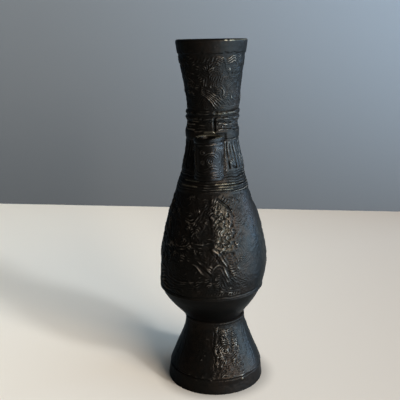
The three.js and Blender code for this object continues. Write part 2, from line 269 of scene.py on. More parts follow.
class VaseSizes(bpy.types.PropertyGroup):
    """Sizes of the turned sections that the boxes of the solids don't give."""

    foot_band_height: length("Foot band", "Height of the standing band", 6.3)
    foot_band_taper: length("Foot taper", "How far the band leans in", 0.55)
    foot_groove_width: length("Foot groove", "Width of the groove above the band", 0.9)
    foot_groove_depth: length("Groove depth", "Depth of the groove above the band", 0.5)
    foot_wall: length("Foot wall", "Thickness of the foot", 2.0)
    waist_radius: length("Waist", "Radius where foot and bowl meet", 13.0)
    waist_bead_height: length("Waist bead", "Height of the bead at the waist", 1.2)
    waist_bead_depth: length("Bead depth", "How far the bead stands out", 0.3)
    bowl_setback: length("Bowl setback", "How far the bowl sits in from the waist", 0.3)
    bowl_wall: length("Bowl wall", "Thickness of the bowl", 2.1)
    spigot_wall: length("Spigot wall", "Thickness of the joint spigots", 1.4)
    floor_flange: length("Floor flange", "Width of the ledge round the floor hole", 1.4)
    body_overhang: length("Body overhang", "How far the body stands out over the bowl", 0.4)
    body_wall: length("Body wall", "Thickness of the body", 2.2)
    belly_height: length("Belly height", "Height of the belly above the seam", 9.8)
    shoulder_radius: length("Shoulder", "Radius where body and neck meet", 15.5)
    neck_root_radius: length("Neck root", "Radius above the shoulder rings", 13.1)
    neck_root_height: length("Neck root height", "Height of the shoulder rings", 6.5)
    neck_radius: length("Neck", "Radius below the collar", 10.9)
    collar_bottom: length("Collar bottom", "Height of the collar above the shoulder", 21.6)
    collar_height: length("Collar", "Height of the collar", 4.8)
    collar_depth: length("Collar depth", "How far the collar stands out", 0.4)
    collar_strip: length("Collar strip", "Height of the sunk strip over the collar", 2.6)
    neck_top_radius: length("Neck top", "Radius where neck and mouth meet", 10.75)
    neck_bore: length("Neck bore", "Radius of the bore through the neck", 8.85)
    ring_height: length("Ring height", "Height of one ring of the neck", 1.7)
    ring_depth: length("Ring depth", "How far a ring stands out", 0.5)
    mouth_radius: length("Mouth", "Radius under the lip", 13.7)
    mouth_wall: length("Mouth wall", "Thickness of the trumpet", 1.7)
    lip_height: length("Lip", "Height of the plain lip", 5.6)
    lip_step: length("Lip step", "How far the lip stands out", 0.4)
    ear_radius: length("Ear", "Radius of an ear between its rims", 6.0)
    ear_bore: length("Ear bore", "Radius of the hole through an ear", 4.6)
    ear_rim_height: length("Ear rim", "Height of an ear's rims", 1.3)


class VaseRelief(bpy.types.PropertyGroup):
    """Heights of the cast relief and its age."""

    figure_height: length("Figures", "Height of the landscape lines", 0.5)
    fret_height: length("Frets", "Height of the key frets", 0.4)
    mask_height: length("Mask", "Height of the ornament on the foot", 0.5)
    ground_height: length("Ground", "Height of the fine lines that fill the ground", 0.38)
    ripple: length("Ripple", "Unevenness of the cast skin", 0.018)
    dent: length("Dents", "Slow dents of the thin walls", 0.07)
    wander: length("Wander", "How far the lines wander", 0.16)
    sink: length("Sink", "How far the ground lies under the outline", 0.12)
    rubbed: share("Rubbed", "How much of the relief is rubbed down", 0.45)
    seed: IntProperty(name="Seed", description="Start of the random draws", default=11, min=0)


class VaseFinish(bpy.types.PropertyGroup):
    """Colours of the patina, the rubbed bronze and the solder."""

    patina: colour("Patina", "Brown-black patina", 0.0036, 0.0032, 0.0026)
    russet: colour("Russet", "Red-brown patches of the patina", 0.0064, 0.0045, 0.0032)
    # a dark colour that is partly grime and partly painted shade, in the recesses and on the inside
    soot: colour("Soot", "Dark grime in the recesses", 0.0018, 0.0015, 0.0011)
    verdigris: colour("Verdigris", "Faint green in the recesses", 0.005, 0.005, 0.004)
    rubbed: colour("Rubbed", "Grey-brown of the rubbed relief", 0.048, 0.0405, 0.032)
    bronze: colour("Bronze", "Bare bronze", 0.13, 0.113, 0.078)
    sheen: colour("Sheen", "How much gloss is left at a glancing view", 0.5, 0.55, 0.6)
    solder: colour("Solder", "Dull soft solder", 0.17, 0.165, 0.155)


class VaseStage(bpy.types.PropertyGroup):
    """Floor, backdrop, lamps and camera."""

    floor: colour("Floor", "Pale floor, at the right", 0.425, 0.378, 0.33)
    # painted light: the floor's left tone is lighter, where less lamp light falls
    floor_left: colour("Floor left", "Pale floor, at the left", 0.9, 0.86, 0.765)
    backdrop: colour("Backdrop", "Grey-blue backdrop, at its left end", 0.084, 0.0885, 0.091)
    # painted light: the backdrop's right end is lighter
    backdrop_right: colour("Backdrop right", "Grey-blue backdrop, at its right end", 0.108, 0.124, 0.14)
    floor_depth: length("Floor depth", "Distance of the backdrop behind the vase", 290.0)
    floor_side: length("Floor side", "Reach of the floor to each side and to the front", 2000.0)
    backdrop_width: length("Backdrop width", "Width of the backdrop", 560.0)
    backdrop_turn: turn("Backdrop turn", "How far the backdrop's right end comes forward", 7.0)
    key: power("Key lamp", "Power of the lamp that casts the shadow", 26.0)
    key_colour: colour("Key colour", "Colour of the key lamp", 0.86, 0.93, 1.0)
    key_width: length("Key width", "Width of the key lamp", 260.0)
    key_height: length("Key height", "Height of the key lamp", 260.0)
    key_distance: length("Key distance", "Distance of the key lamp", 2400.0)
    key_azimuth: turn("Key azimuth", "Where the key lamp stands, from the camera", 50.0)
    key_rise: turn("Key rise", "How high the key lamp stands", 28.0)
    window: power("Window lamp", "Power of the large soft lamp on the right", 1130.0)
    window_colour: colour("Window colour", "Colour of the large lamp", 0.53, 0.76, 1.0)
    window_width: length("Window width", "Width of the large lamp", 6540.0)
    window_height: length("Window height", "Height of the large lamp", 560.0)
    window_distance: length("Window distance", "Distance of the large lamp", 4500.0)
    window_azimuth: turn("Window azimuth", "Where the large lamp stands, from the camera", 79.0)
    window_rise: turn("Window rise", "How high the large lamp stands", 2.7)
    side: power("Side lamp", "Power of the weaker lamp beyond the window", 60.0)
    side_colour: colour("Side colour", "Colour of the side lamp", 0.9, 0.95, 1.0)
    side_width: length("Side width", "Width of the side lamp", 4000.0)
    side_height: length("Side height", "Height of the side lamp", 560.0)
    side_distance: length("Side distance", "Distance of the side lamp", 4500.0)
    side_azimuth: turn("Side azimuth", "Where the side lamp stands, from the camera", 122.0)
    side_rise: turn("Side rise", "How high the side lamp stands", 2.7)
    room: power("Room lamp", "Power of the warm soft lamp in front", 185.0)
    room_colour: colour("Room colour", "Colour of the room lamp", 1.0, 0.85, 0.7)
    room_width: length("Room width", "Width of the room lamp", 2000.0)
    room_height: length("Room height", "Height of the room lamp", 620.0)
    room_distance: length("Room distance", "Distance of the room lamp", 3000.0)
    room_azimuth: turn("Room azimuth", "Where the room lamp stands, from the camera", 39.0)
    room_rise: turn("Room rise", "How high the room lamp stands", 15.0)
    table: power("Table end", "Power of the bright end of the table on the right", 15.0)
    table_start: length("Table start", "Where the bright end begins, right of the vase", 115.0)
    table_length: length("Table length", "Length of the bright end", 700.0)
    table_width: length("Table width", "Width of the bright end", 500.0)
    table_front: length("Table front", "How far the bright end lies in front of the vase", 220.0)
    sky: colour("Sky", "Even light all round", 0.172, 0.188, 0.206)
    camera_azimuth: turn("Camera azimuth", "Turn of the camera round the vase", 4.5)
    camera_distance: length("Camera distance", "Distance of the camera from the axis", 273.9)
    camera_height: length("Camera height", "Height of the camera", 152.5)
    camera_pitch: turn("Camera pitch", "How far the camera looks down", 14.42)
    camera_yaw: turn("Camera yaw", "How far the camera looks aside", -1.19)
    camera_roll: turn("Camera roll", "Tilt of the camera", -0.998)
    camera_reach: FloatProperty(
        name="Focal length", description="Focal length in pixels of the image", default=650.4
    )


# Numbers

def in_mm(group):
    """The lengths of a property group, in millimetres."""
    known = group.bl_rna.properties
    lengths = [name for name in type(group).__annotations__ if known[name].unit == "LENGTH"]
    return SimpleNamespace(**{name: getattr(group, name) / MM for name in lengths})


def limited(value):
    """A share, kept between none and all."""
    return np.clip(value, 0.0, 1.0)


def eased(value):
    """A share that starts and ends softly."""
    value = limited(value)
    return value * value * (3 - 2 * value)


# Outlines

def cubic(start, start_pull, end_pull, end):
    """Points of a cubic curve between two points of an outline."""
    s = np.linspace(0.0, 1.0, CURVE_STEPS + 1)[:, None]
    start, start_pull, end_pull, end = map(np.array, (start, start_pull, end_pull, end))
    curve = (
        start * (1 - s) ** 3
        + 3 * start_pull * s * (1 - s) ** 2
        + 3 * end_pull * s**2 * (1 - s)
        + end * s**3
    )
    return [tuple(point) for point in curve]


def evenly(points, step):
    """The same outline in even steps of about the given length."""
    points = np.array(points, float)
    run = np.concatenate([[0.0], np.cumsum(np.hypot(*np.diff(points, axis=0).T))])
    stops = np.linspace(0.0, run[-1], max(int(round(run[-1] / step)), 1) + 1)
    return np.column_stack([np.interp(stops, run, points[:, axis]) for axis in (0, 1)])


def ringed(outline, middles, height, depth):
    """An outline with half-round rings at the given levels."""
    swollen = outline.copy()
    for middle in middles:
        away = limited(np.abs(outline[:, 1] - middle) / (height / 2))
        swollen[:, 0] += depth * np.sqrt(1.0 - away**2)
    return swollen


def tangents(outline):
    """The direction of an outline at each of its points."""
    steps = np.gradient(outline, axis=0)
    return steps / np.hypot(*steps.T)[:, None]


def through(points, steps=6):
    """A smooth line through a few points."""
    points = np.array(points, float)
    padded = np.vstack([2 * points[0] - points[1], points, 2 * points[-1] - points[-2]])
    s = np.linspace(0.0, 1.0, steps, endpoint=False)[:, None]
    stretches = []
    for a, b, c, d in zip(padded, padded[1:], padded[2:], padded[3:]):
        bend = 2 * a - 5 * b + 4 * c - d
        twist = 3 * b - a - 3 * c + d
        stretches.append(0.5 * (2 * b + (c - a) * s + bend * s**2 + twist * s**3))
    return np.vstack([*stretches, points[-1:]])


# Relief

class CastFace:
    """The outside of a turned piece as layers of relief heights, in millimetres.

    Rows follow the outline upwards. Columns go round it, to the right from the front.
    The layer named bare holds shares of bare bronze instead.
    """

    def __init__(self, outline, columns):
        self.radius, self.level = outline.T
        steps = np.hypot(*np.diff(outline, axis=0).T)
        self.run = np.concatenate([[0.0], np.cumsum(steps)])
        self.columns = columns
        self.column_turn = 360.0 / columns
        shape = (len(outline), columns)
        self.layers = {name: np.zeros(shape) for name in ("plates", "ridges", "cuts", "bare")}
        self.row_step = self.run[-1] / (len(outline) - 1)
        self.column_step = 2 * math.pi * self.radius.mean() / columns

    def run_at(self, level):
        """How far along the outline a level lies."""
        return float(np.interp(level, self.level, self.run))

    def level_at(self, run):
        """The level of the outline, so far along it."""
        return float(np.interp(run, self.run, self.level))

    def radius_at(self, run):
        """The radius of the outline, so far along it."""
        return float(np.interp(run, self.run, self.radius))

    def turn_from(self, middle):
        """How far round each column lies from an angle, in degrees."""
        angle = np.arange(self.columns) * self.column_turn
        return np.abs((angle - middle + 180.0) % 360.0 - 180.0)

    def stroke(self, spots, width, height, layer, taper):
        """Draw a rounded line along spots of (angle, run) on one layer."""
        stretches = len(spots) - 1
        for index in range(stretches):
            ends = (index / stretches, (index + 1) / stretches)
            self.stretch(spots[index], spots[index + 1], ends, width, height, layer, taper)

    def stretch(self, start, end, ends, width, height, layer, taper):
        """Draw one straight stretch of a line."""
        reach = width / 2
        low, high = sorted((start[1], end[1]))
        rows = np.arange(*np.searchsorted(self.run, (low - reach, high + reach)))
        if not len(rows):
            return
        radius = self.radius_at((low + high) / 2)
        margin = math.degrees(reach / radius) + self.column_turn
        left, right = sorted((start[0], end[0]))
        first = math.floor((left - margin) / self.column_turn)
        last = math.ceil((right + margin) / self.column_turn)
        columns = np.arange(first, last + 1)
        across = np.radians(columns * self.column_turn - start[0])[None, :] * self.radius[rows][:, None]
        up = (self.run[rows] - start[1])[:, None]
        step_across = math.radians(end[0] - start[0]) * radius
        step_up = end[1] - start[1]
        square = max(step_across**2 + step_up**2, 1e-9)
        along = limited((across * step_across + up * step_up) / square)
        gap = np.hypot(across - along * step_across, up - along * step_up)
        place = ends[0] + (ends[1] - ends[0]) * along
        swell = 1.0 - taper * np.abs(2 * place - 1) ** 2
        bump = height * swell * eased(STROKE_FALL * (1.0 - gap / (reach * np.maximum(swell, 0.05))))
        block = np.ix_(rows, columns % self.columns)
        sheet = self.layers[layer]
        sheet[block] = np.maximum(sheet[block], bump)

    def plate(self, left, right, bottom, top, height, soft, layer="plates"):
        """Raise, or with a negative height sink, a patch between two angles and two levels."""
        off = self.turn_from((left + right) / 2)
        inside = ((right - left) / 2 - off)[None, :] * np.radians(self.radius)[:, None]
        low, high = self.run_at(bottom), self.run_at(top)
        inside = np.minimum(inside, np.minimum(self.run - low, high - self.run)[:, None])
        self.layers[layer] += height * eased(inside / soft + 0.5)

    def ring(self, level, width, height, layer="ridges"):
        """Draw a line all round."""
        gap = np.abs(self.run - self.run_at(level)) / (width / 2)
        bump = height * eased(STROKE_FALL * (1.0 - gap))[:, None]
        self.layers[layer] = np.maximum(self.layers[layer], bump)

    def rub_down(self, middle, reach, amount):
        """Rub the ridges down round one angle."""
        near = eased(STROKE_FALL * (1.0 - self.turn_from(middle) / reach))
        self.layers["ridges"] *= (1.0 - amount * near)[None, :]

    def blurred(self, sheet, size):
        """A sheet smoothed over about the given length."""
        rows = np.fft.fftfreq(sheet.shape[0], self.row_step)[:, None]
        columns = np.fft.rfftfreq(sheet.shape[1], self.column_step)[None, :]
        keep = np.exp(-2 * (math.pi * size) ** 2 * (rows**2 + columns**2))
        return np.fft.irfft2(np.fft.rfft2(sheet) * keep, sheet.shape)

    def noise(self, draws, size):
        """Seeded smooth noise of about the given grain, with a spread of one."""
        smooth = self.blurred(draws.standard_normal(self.layers["ridges"].shape), size)
        return (smooth - smooth.mean()) / smooth.std()

    def pits(self, draws, count, depth):
        """Small casting pits."""
        for angle, run, size in zip(
            draws.uniform(0, 360, count),
            draws.uniform(0, self.run[-1], count),
            draws.uniform(*PIT_WIDTHS, count),
        ):
            self.stroke([(angle, run), (angle, run)], size, depth, "cuts", 0.0)

    def warped(self, sheet, reach, rows_drift, columns_drift):
        """A sheet whose lines wander by about the given reach, as if cut by hand."""
        rows = np.arange(sheet.shape[0])[:, None] + reach / self.row_step * rows_drift
        columns = np.arange(sheet.shape[1])[None, :] + reach / self.column_step * columns_drift
        rows = np.clip(rows, 0.0, sheet.shape[0] - 1.001)
        low, left = np.floor(rows).astype(int), np.floor(columns).astype(int)
        up, across = rows - low, columns - left
        right = (left + 1) % self.columns
        left = left % self.columns
        lower = sheet[low, left] * (1 - across) + sheet[low, right] * across
        upper = sheet[low + 1, left] * (1 - across) + sheet[low + 1, right] * across
        return lower * (1 - up) + upper * up

    def lift(self, relief, draws):
        """The whole relief: plates, rubbed and broken ridges, cuts and the uneven cast skin."""
        age = limited(0.5 + 0.5 * self.noise(draws, AGE_GRAIN))
        kept = 1.0 - relief.rubbed * age
        breaks = np.clip(1.0 + BREAK_SPREAD * self.noise(draws, BREAK_GRAIN), *BREAK_LIMITS)
        drawn = self.layers["plates"] + (self.layers["ridges"] * kept - self.layers["cuts"]) * breaks
        drifts = [self.noise(draws, WANDER_GRAIN) for _ in range(2)]
        drawn = self.warped(drawn, relief.wander, *drifts)
        skin = relief.ripple * self.noise(draws, RIPPLE_GRAIN) + relief.dent * self.noise(draws, DENT_GRAIN)
        edge = np.minimum(self.run, self.run[-1] - self.run) / EDGE_FADE
        return (drawn + skin - relief.sink) * limited(edge)[:, None]

    def marks(self, lift):
        """How worn and how deep each spot is, from how it stands against its surroundings, and how bare."""
        rows = np.arange(-BULGE_ROWS, BULGE_ROWS + 1)
        kernel = np.exp(-0.5 * (rows * self.row_step / BULGE_REACH) ** 2)
        kernel /= kernel.sum()
        padded = np.pad(self.radius, BULGE_ROWS, mode="reflect", reflect_type="odd")
        bulge = self.radius - np.convolve(padded, kernel, mode="valid")
        proud = lift - self.blurred(lift, FINE_REACH)
        broad = lift - self.blurred(lift, BROAD_REACH)
        ridge = proud + BULGE_WEAR * np.maximum(bulge, 0.0)[:, None]
        edges = RIDGE_WEAR * limited((ridge - RIDGE_START) / RIDGE_SPAN)
        heights = BROAD_WEAR * limited((broad - BROAD_START) / BROAD_SPAN)
        return {
            "worn": limited(edges + heights),
            "pocket": limited((-proud - POCKET_START) / POCKET_SPAN),
            "bare": limited(self.layers["bare"]),
        }


class Pen:
    """Draws on a cast face, in millimetres right of and above its own place."""

    def __init__(self, face, angle, level, height, width=0.8, layer="ridges", tilt=0.0, hand=1):
        self.face = face
        self.angle = angle
        self.run = face.run_at(level)
        self.radius = face.radius_at(self.run)
        self.height = height
        self.width = width
        self.layer = layer
        self.cosine = math.cos(math.radians(tilt))
        self.sine = math.sin(math.radians(tilt))
        self.hand = hand

    def spot(self, x, y):
        """The angle and run of a point of the drawing."""
        across = self.hand * (x * self.cosine - y * self.sine)
        return self.angle + math.degrees(across / self.radius), self.run + x * self.sine + y * self.cosine

    def line(self, points, width=1.0, height=1.0, taper=0.0):
        """A line through points, with its width and height as shares of the pen's."""
        spots = [self.spot(x, y) for x, y in points]
        self.face.stroke(spots, self.width * width, self.height * height, self.layer, taper)

    def curve(self, points, taper=0.6):
        """A smooth line through a few points."""
        self.line(through(points, steps=4), taper=taper)

    def dot(self, x, y, size, height=1.0):
        """A round boss."""
        spot = self.spot(x, y)
        self.face.stroke([spot, spot], size, self.height * height, self.layer, 0.0)

    def arc(self, x, y, radius, start, end, height=1.0, taper=0.5):
        """Part of a circle, between two angles in degrees."""
        turns = np.radians(np.linspace(start, end, max(int(abs(end - start) / ARC_STEP), 2) + 1))
        points = np.column_stack([x + radius * np.cos(turns), y + radius * np.sin(turns)])
        self.line(points, height=height, taper=taper)

    def spiral(self, x, y, radius, turns, start):
        """A scroll that winds inwards."""
        s = np.linspace(0.0, 1.0, int(abs(turns) * SPIRAL_STEPS) + 2)
        angle = np.radians(start) + 2 * math.pi * turns * s
        reach = radius * (1.0 - SPIRAL_DRAW_IN * s)
        self.line(np.column_stack([x + reach * np.cos(angle), y + reach * np.sin(angle)]))


class Side:
    """One side of a cast face, drawn on by angle from its middle and by level."""

    def __init__(self, face, turn, height, hand=1):
        self.face = face
        self.turn = turn
        self.height = height
        self.hand = hand

    def pen(self, angle, level, width=0.8, height=1.0, layer="ridges", tilt=0.0):
        """A pen at a place of this side."""
        around = self.turn + self.hand * angle
        return Pen(self.face, around, level, self.height * height, width, layer, tilt, self.hand)

    def trace(self, points, width, height, layer="ridges", taper=0.5, drop=0.0, shift=0.0):
        """A smooth line through points of (angle, level), lowered by a drop and turned by a shift."""
        spots = [
            (self.turn + self.hand * (angle + shift), self.face.run_at(level) - drop)
            for angle, level in points
        ]
        self.face.stroke(through(spots), width, self.height * height, layer, taper)

    def cut(self, points, width, depth, taper=0.3):
        """A groove through points of (angle, level), with its depth in millimetres."""
        self.trace(points, width, depth / self.height, "cuts", taper)

    def boss(self, angle, level, size, height):
        """A round boss."""
        self.pen(angle, level).dot(0.0, 0.0, size, height)

    def rub(self, angle, level, size, amount, right=0.0, up=0.0):
        """A round spot that is bare by a share, so far right of and above a place."""
        self.pen(angle, level, layer="bare", height=amount / self.height).dot(right, up, size)

    def plate(self, left, right, bottom, top, height, soft, layer="plates"):
        """Raise or sink a patch of this side."""
        ends = sorted((self.turn + self.hand * left, self.turn + self.hand * right))
        self.face.plate(*ends, bottom, top, height, soft, layer)


# Motifs

def cloud(pen, size):
    """Two scrolls on a drifting tail."""
    pen.spiral(0.0, 0.0, 0.5 * size, 1.4, start=200)
    pen.spiral(0.95 * size, 0.15 * size, 0.4 * size, -1.3, start=-20)
    pen.curve([(-1.3 * size, -0.35 * size), (-0.2 * size, -0.62 * size), (1.6 * size, -0.4 * size)])


def crescents(pen, count, radius, step):
    """Bent strokes laid over each other like feathers."""
    for index in range(count):
        pen.arc(0.35 * step * index, -step * index, radius, 200, 60)


def boulders(side, left, right, bottom, top, size, draws):
    """A mass of rounded rocks with dark gaps."""
    middle_run = side.face.run_at((bottom + top) / 2)
    across = math.radians(right - left) * side.face.radius_at(middle_run)
    for _ in range(int(1.3 * across * (top - bottom) / size**2)):
        angle, level = draws.uniform(left, right), draws.uniform(bottom, top)
        reach = draws.uniform(0.1, 0.8) * size
        width = draws.uniform(0.7, 1.35) * size
        height = draws.uniform(0.2, 0.5)
        rock = side.pen(angle, level, width, height, tilt=draws.uniform(-90, 90))
        rock.curve([(-reach, 0.0), (0.0, draws.uniform(-0.4, 0.4) * size), (reach, 0.0)], taper=0.3)
        if draws.uniform() < 0.5:
            angle, level = draws.uniform(left, right), draws.uniform(bottom, top)
            gap = side.pen(angle, level, 0.7, 0.7, "cuts", draws.uniform(-90, 90))
            gap.line([(-0.6 * size, 0.0), (0.6 * size, 0.0)], taper=0.5)


def stipple(pen, width, height, pitch, draws):
    """A patch of small bosses."""
    for x in np.arange(-width / 2, width / 2, pitch):
        for y in np.arange(-height / 2, height / 2, pitch):
            pen.dot(x + draws.uniform(-0.3, 0.3), y + draws.uniform(-0.3, 0.3), draws.uniform(0.6, 1.0), 0.8)


def beads(pen, width, pitch, tall):
    """A row of short upright bars between two lines."""
    for x in np.arange(-width / 2, width / 2, pitch):
        pen.line([(x, -tall / 2), (x + 0.2 * pitch, tall / 2)])
    for y in (-tall, tall):
        pen.line([(-width / 2, y), (width / 2, y)], width=0.7, height=0.8)


def eye(pen, radius):
    """A boss in two rings."""
    pen.dot(0.0, 0.0, 1.1 * radius, 1.3)
    pen.arc(0.0, 0.0, 1.25 * radius, 0, 360, taper=0.0)
    pen.arc(0.0, 0.0, 2.15 * radius, 20, 340, height=0.8, taper=0.3)


def feathers(face, low, high, patch, pitch, height, draws, clear=0.05):
    """Patches of short bent lines side by side, on the ground that the figures leave free."""
    taken = face.blurred(face.layers["ridges"] + face.layers["cuts"], 0.25 * patch)
    for run in np.arange(face.run_at(low) + 0.4 * patch, face.run_at(high) - 0.3 * patch, 0.85 * patch):
        count = int(2 * math.pi * face.radius_at(run) / (0.9 * patch))
        for index in range(count):
            angle = (index + draws.uniform(0.0, 0.7)) * 360.0 / count
            place = run + draws.uniform(-0.3, 0.3) * patch
            tilt = draws.uniform(*FEATHER_LEAN)
            bend = draws.uniform(-0.3, 0.3) * patch
            strength = draws.uniform(0.5, 1.0)
            row = min(int(np.searchsorted(face.run, place)), len(face.run) - 1)
            if taken[row, int(angle / face.column_turn) % face.columns] > clear:
                continue
            pen = Pen(face, angle, face.level_at(place), height * strength, 0.66 * pitch, tilt=tilt)
            for y in np.arange(-0.45 * patch, 0.5 * patch, pitch):
                reach = 0.55 * patch * draws.uniform(0.6, 1.0)
                pen.curve([(-reach, y - bend), (0.0, y), (reach, y - bend)], taper=0.4)


# Meshes

def turned(name, outside, inside, columns):
    """A closed turned shell: its outline is drawn by extruding a point, then screwed round the axis."""
    outline = np.vstack([outside, inside]) * MM
    bpy.ops.object.select_all(action="DESELECT")
    bpy.ops.mesh.primitive_plane_add(size=MM, location=(outline[0][0], 0.0, outline[0][1]))
    piece = bpy.context.object
    piece.name = name
    piece.data.name = name
    bpy.ops.object.transform_apply(location=True, rotation=True, scale=True)
    bpy.ops.object.mode_set(mode="EDIT")
    bpy.ops.mesh.select_all(action="SELECT")
    bpy.ops.mesh.merge(type="CENTER")
    for before, after in zip(outline, [*outline[1:], outline[0]]):
        step = after - before
        bpy.ops.mesh.extrude_region_move(TRANSFORM_OT_translate={"value": (step[0], 0.0, step[1])})
    bpy.ops.mesh.select_all(action="SELECT")
    bpy.ops.mesh.remove_doubles(threshold=WELD * MM)
    bpy.ops.object.mode_set(mode="OBJECT")
    bpy.ops.object.modifier_add(type="SCREW")
    screw = piece.modifiers[-1]
    screw.axis = "Z"
    screw.steps = columns
    screw.render_steps = columns
    screw.use_merge_vertices = True
    screw.merge_threshold = WELD * MM
    bpy.ops.object.modifier_apply(modifier=screw.name)
    bpy.ops.object.mode_set(mode="EDIT")
    bpy.ops.mesh.select_all(action="SELECT")
    bpy.ops.mesh.remove_doubles(threshold=WELD * MM)
    bpy.ops.mesh.normals_make_consistent(inside=False)
    bpy.ops.object.mode_set(mode="OBJECT")
    bpy.ops.object.shade_smooth_by_angle(angle=math.radians(SMOOTH_TURN))
    return piece


def points_of(piece):
    """The places of a mesh's vertices, in metres."""
    places = np.empty(3 * len(piece.data.vertices))
    piece.data.vertices.foreach_get("co", places)
    return places.reshape(-1, 3)


def move_points(piece, places):
    """Put a mesh's vertices at new places, in metres."""
    piece.data.vertices.foreach_set("co", places.ravel())
    piece.data.update()


def nearest_rows(radius, level, outline):
    """For each vertex the nearest point of an outline and its distance, in millimetres."""
    rows = np.empty(len(radius), int)
    gaps = np.empty(len(radius))
    for start in range(0, len(radius), BATCH):
        part = slice(start, start + BATCH)
        gap = np.hypot(radius[part, None] - outline[:, 0], level[part, None] - outline[:, 1])
        rows[part] = gap.argmin(axis=1)
        gaps[part] = gap.min(axis=1)
    return rows, gaps


def emboss(piece, face, lift):
    """Push the outside of a turned piece out and in by its relief, and note worn, deep and bare spots."""
    places = points_of(piece) / MM
    x, y = places[:, 0], places[:, 1]
    radius = np.hypot(x, y)
    outline = np.column_stack([face.radius, face.level])
    rows, gaps = nearest_rows(radius, places[:, 2], outline)
    outer = gaps < SKIN_REACH
    columns = np.round(np.degrees(np.arctan2(x, -y)) / face.column_turn).astype(int) % face.columns
    tangent = tangents(outline)
    push = np.where(outer, lift[rows, columns], 0.0)
    out = 1.0 + push * tangent[rows, 1] / np.maximum(radius, 1e-6)
    places[:, 0] *= out
    places[:, 1] *= out
    places[:, 2] -= push * tangent[rows, 0]
    sheets = {**face.marks(lift), "outer": np.ones_like(lift)}
    for name, sheet in sheets.items():
        mark = piece.data.attributes.new(name, "FLOAT", "POINT")
        mark.data.foreach_set("value", np.where(outer, sheet[rows, columns], 0.0))
    move_points(piece, places * MM)


def set_out_of_line(piece):
    """Shift a piece's outer skin a little, as the hand-soldered sections stand out of line."""
    places = points_of(piece)
    outer = np.empty(len(places))
    piece.data.attributes["outer"].data.foreach_get("value", outer)
    shift = outer * np.interp(places[:, 2] / MM, *zip(*LEAN)) * MM
    places[:, 0] += shift * math.cos(math.radians(VIEW_TURN))
    places[:, 1] += shift * math.sin(math.radians(VIEW_TURN))
    move_points(piece, places)


def tip_rim(piece):
    """Tip an ear's upper rim to the front, raise it, most at one corner, and set its hole to the left."""
    places = points_of(piece) / MM
    x, y, z = places.T
    radius = np.hypot(x, y)
    upper = limited((z - EAR_HIGH.z + RIM_DEPTH) / RIM_DEPTH)
    bore = upper * limited((RIM_HOLE_RADIUS - radius) / RIM_HOLE_SOFT)
    off = np.abs(np.degrees(np.arctan2(x, -y)) - RIM_CORNER)
    crest = RIM_CREST * eased(RIM_CORNER_FALL * (1.0 - off / RIM_CORNER_REACH))
    places[:, 2] += upper * (RIM_RAISE + RIM_TIP * y / EAR_RIM_RADIUS + crest)
    places[:, 0] -= bore * (RIM_SHIFT + RIM_DRAW_IN * x)
    move_points(piece, places * MM)


# Materials

class Wire:
    """An output socket that takes part in arithmetic: each operator adds a Math node."""

    def __init__(self, paint, socket):
        self.paint = paint
        self.socket = socket

    def math(self, operation, first, second):
        """One Math node."""
        return self.paint.add("ShaderNodeMath", {"operation": operation}, {0: first, 1: second})

    def __add__(self, other):
        return self.math("ADD", self, other)

    __radd__ = __add__

    def __sub__(self, other):
        return self.math("SUBTRACT", self, other)

    def __rsub__(self, other):
        return self.math("SUBTRACT", other, self)

    def __mul__(self, other):
        return self.math("MULTIPLY", self, other)


class Paint:
    """The nodes of one material."""

    def __init__(self, name):
        self.material = bpy.data.materials.new(name)
        self.material.use_nodes = True
        self.tree = self.material.node_tree
        self.tree.nodes.clear()

    def add(self, kind, settings=None, sockets=None, output=0):
        """Add a node: its settings first, then the values or links of its sockets."""
        node = self.tree.nodes.new(kind)
        for name, value in (settings or {}).items():
            setattr(node, name, value)
        for name, value in (sockets or {}).items():
            if isinstance(value, Wire):
                self.tree.links.new(value.socket, node.inputs[name])
            else:
                node.inputs[name].default_value = value
        return Wire(self, node.outputs[output]) if len(node.outputs) else None

    def place(self):
        """Object coordinates, in metres."""
        return self.add("ShaderNodeTexCoord", output="Object")

    def axis(self, place, name):
        """One coordinate of a place."""
        return self.add("ShaderNodeSeparateXYZ", None, {0: place}, output=name)

    def attribute(self, name):
        """A value stored on the mesh."""
        return self.add("ShaderNodeAttribute", {"attribute_name": name}, output="Fac")

    def noise(self, place, grain, detail=3.0):
        """Noise whose lumps are about as large as the grain, in millimetres."""
        sockets = {"Vector": place, "Scale": 1.0 / (grain * MM), "Detail": detail, "Roughness": 0.55}
        return self.add("ShaderNodeTexNoise", None, sockets)

    def ease(self, value, low, high):
        """A smooth step from none to all between two values."""
        sockets = {"Value": value, "From Min": low, "From Max": high}
        return self.add("ShaderNodeMapRange", {"interpolation_type": "SMOOTHSTEP"}, sockets)

    def blend(self, factor, first, second):
        """A mix of two colours."""
        sockets = {0: factor, 6: opaque(first), 7: opaque(second)}
        return self.add("ShaderNodeMix", {"data_type": "RGBA"}, sockets, output=2)

    def bump(self, height, distance, strength):
        """A normal bent by a height, whose depth is given in millimetres."""
        sockets = {"Height": height, "Distance": distance * MM, "Strength": strength}
        return self.add("ShaderNodeBump", None, sockets)

    def surface(self, sockets):
        """Close the material with one shader."""
        shader = self.add("ShaderNodeBsdfPrincipled", None, sockets)
        self.add("ShaderNodeOutputMaterial", None, {"Surface": shader})
        return self.material


def opaque(value):
    """A colour with full cover, or a link as it is."""
    return value if isinstance(value, Wire) else (*value, 1.0)


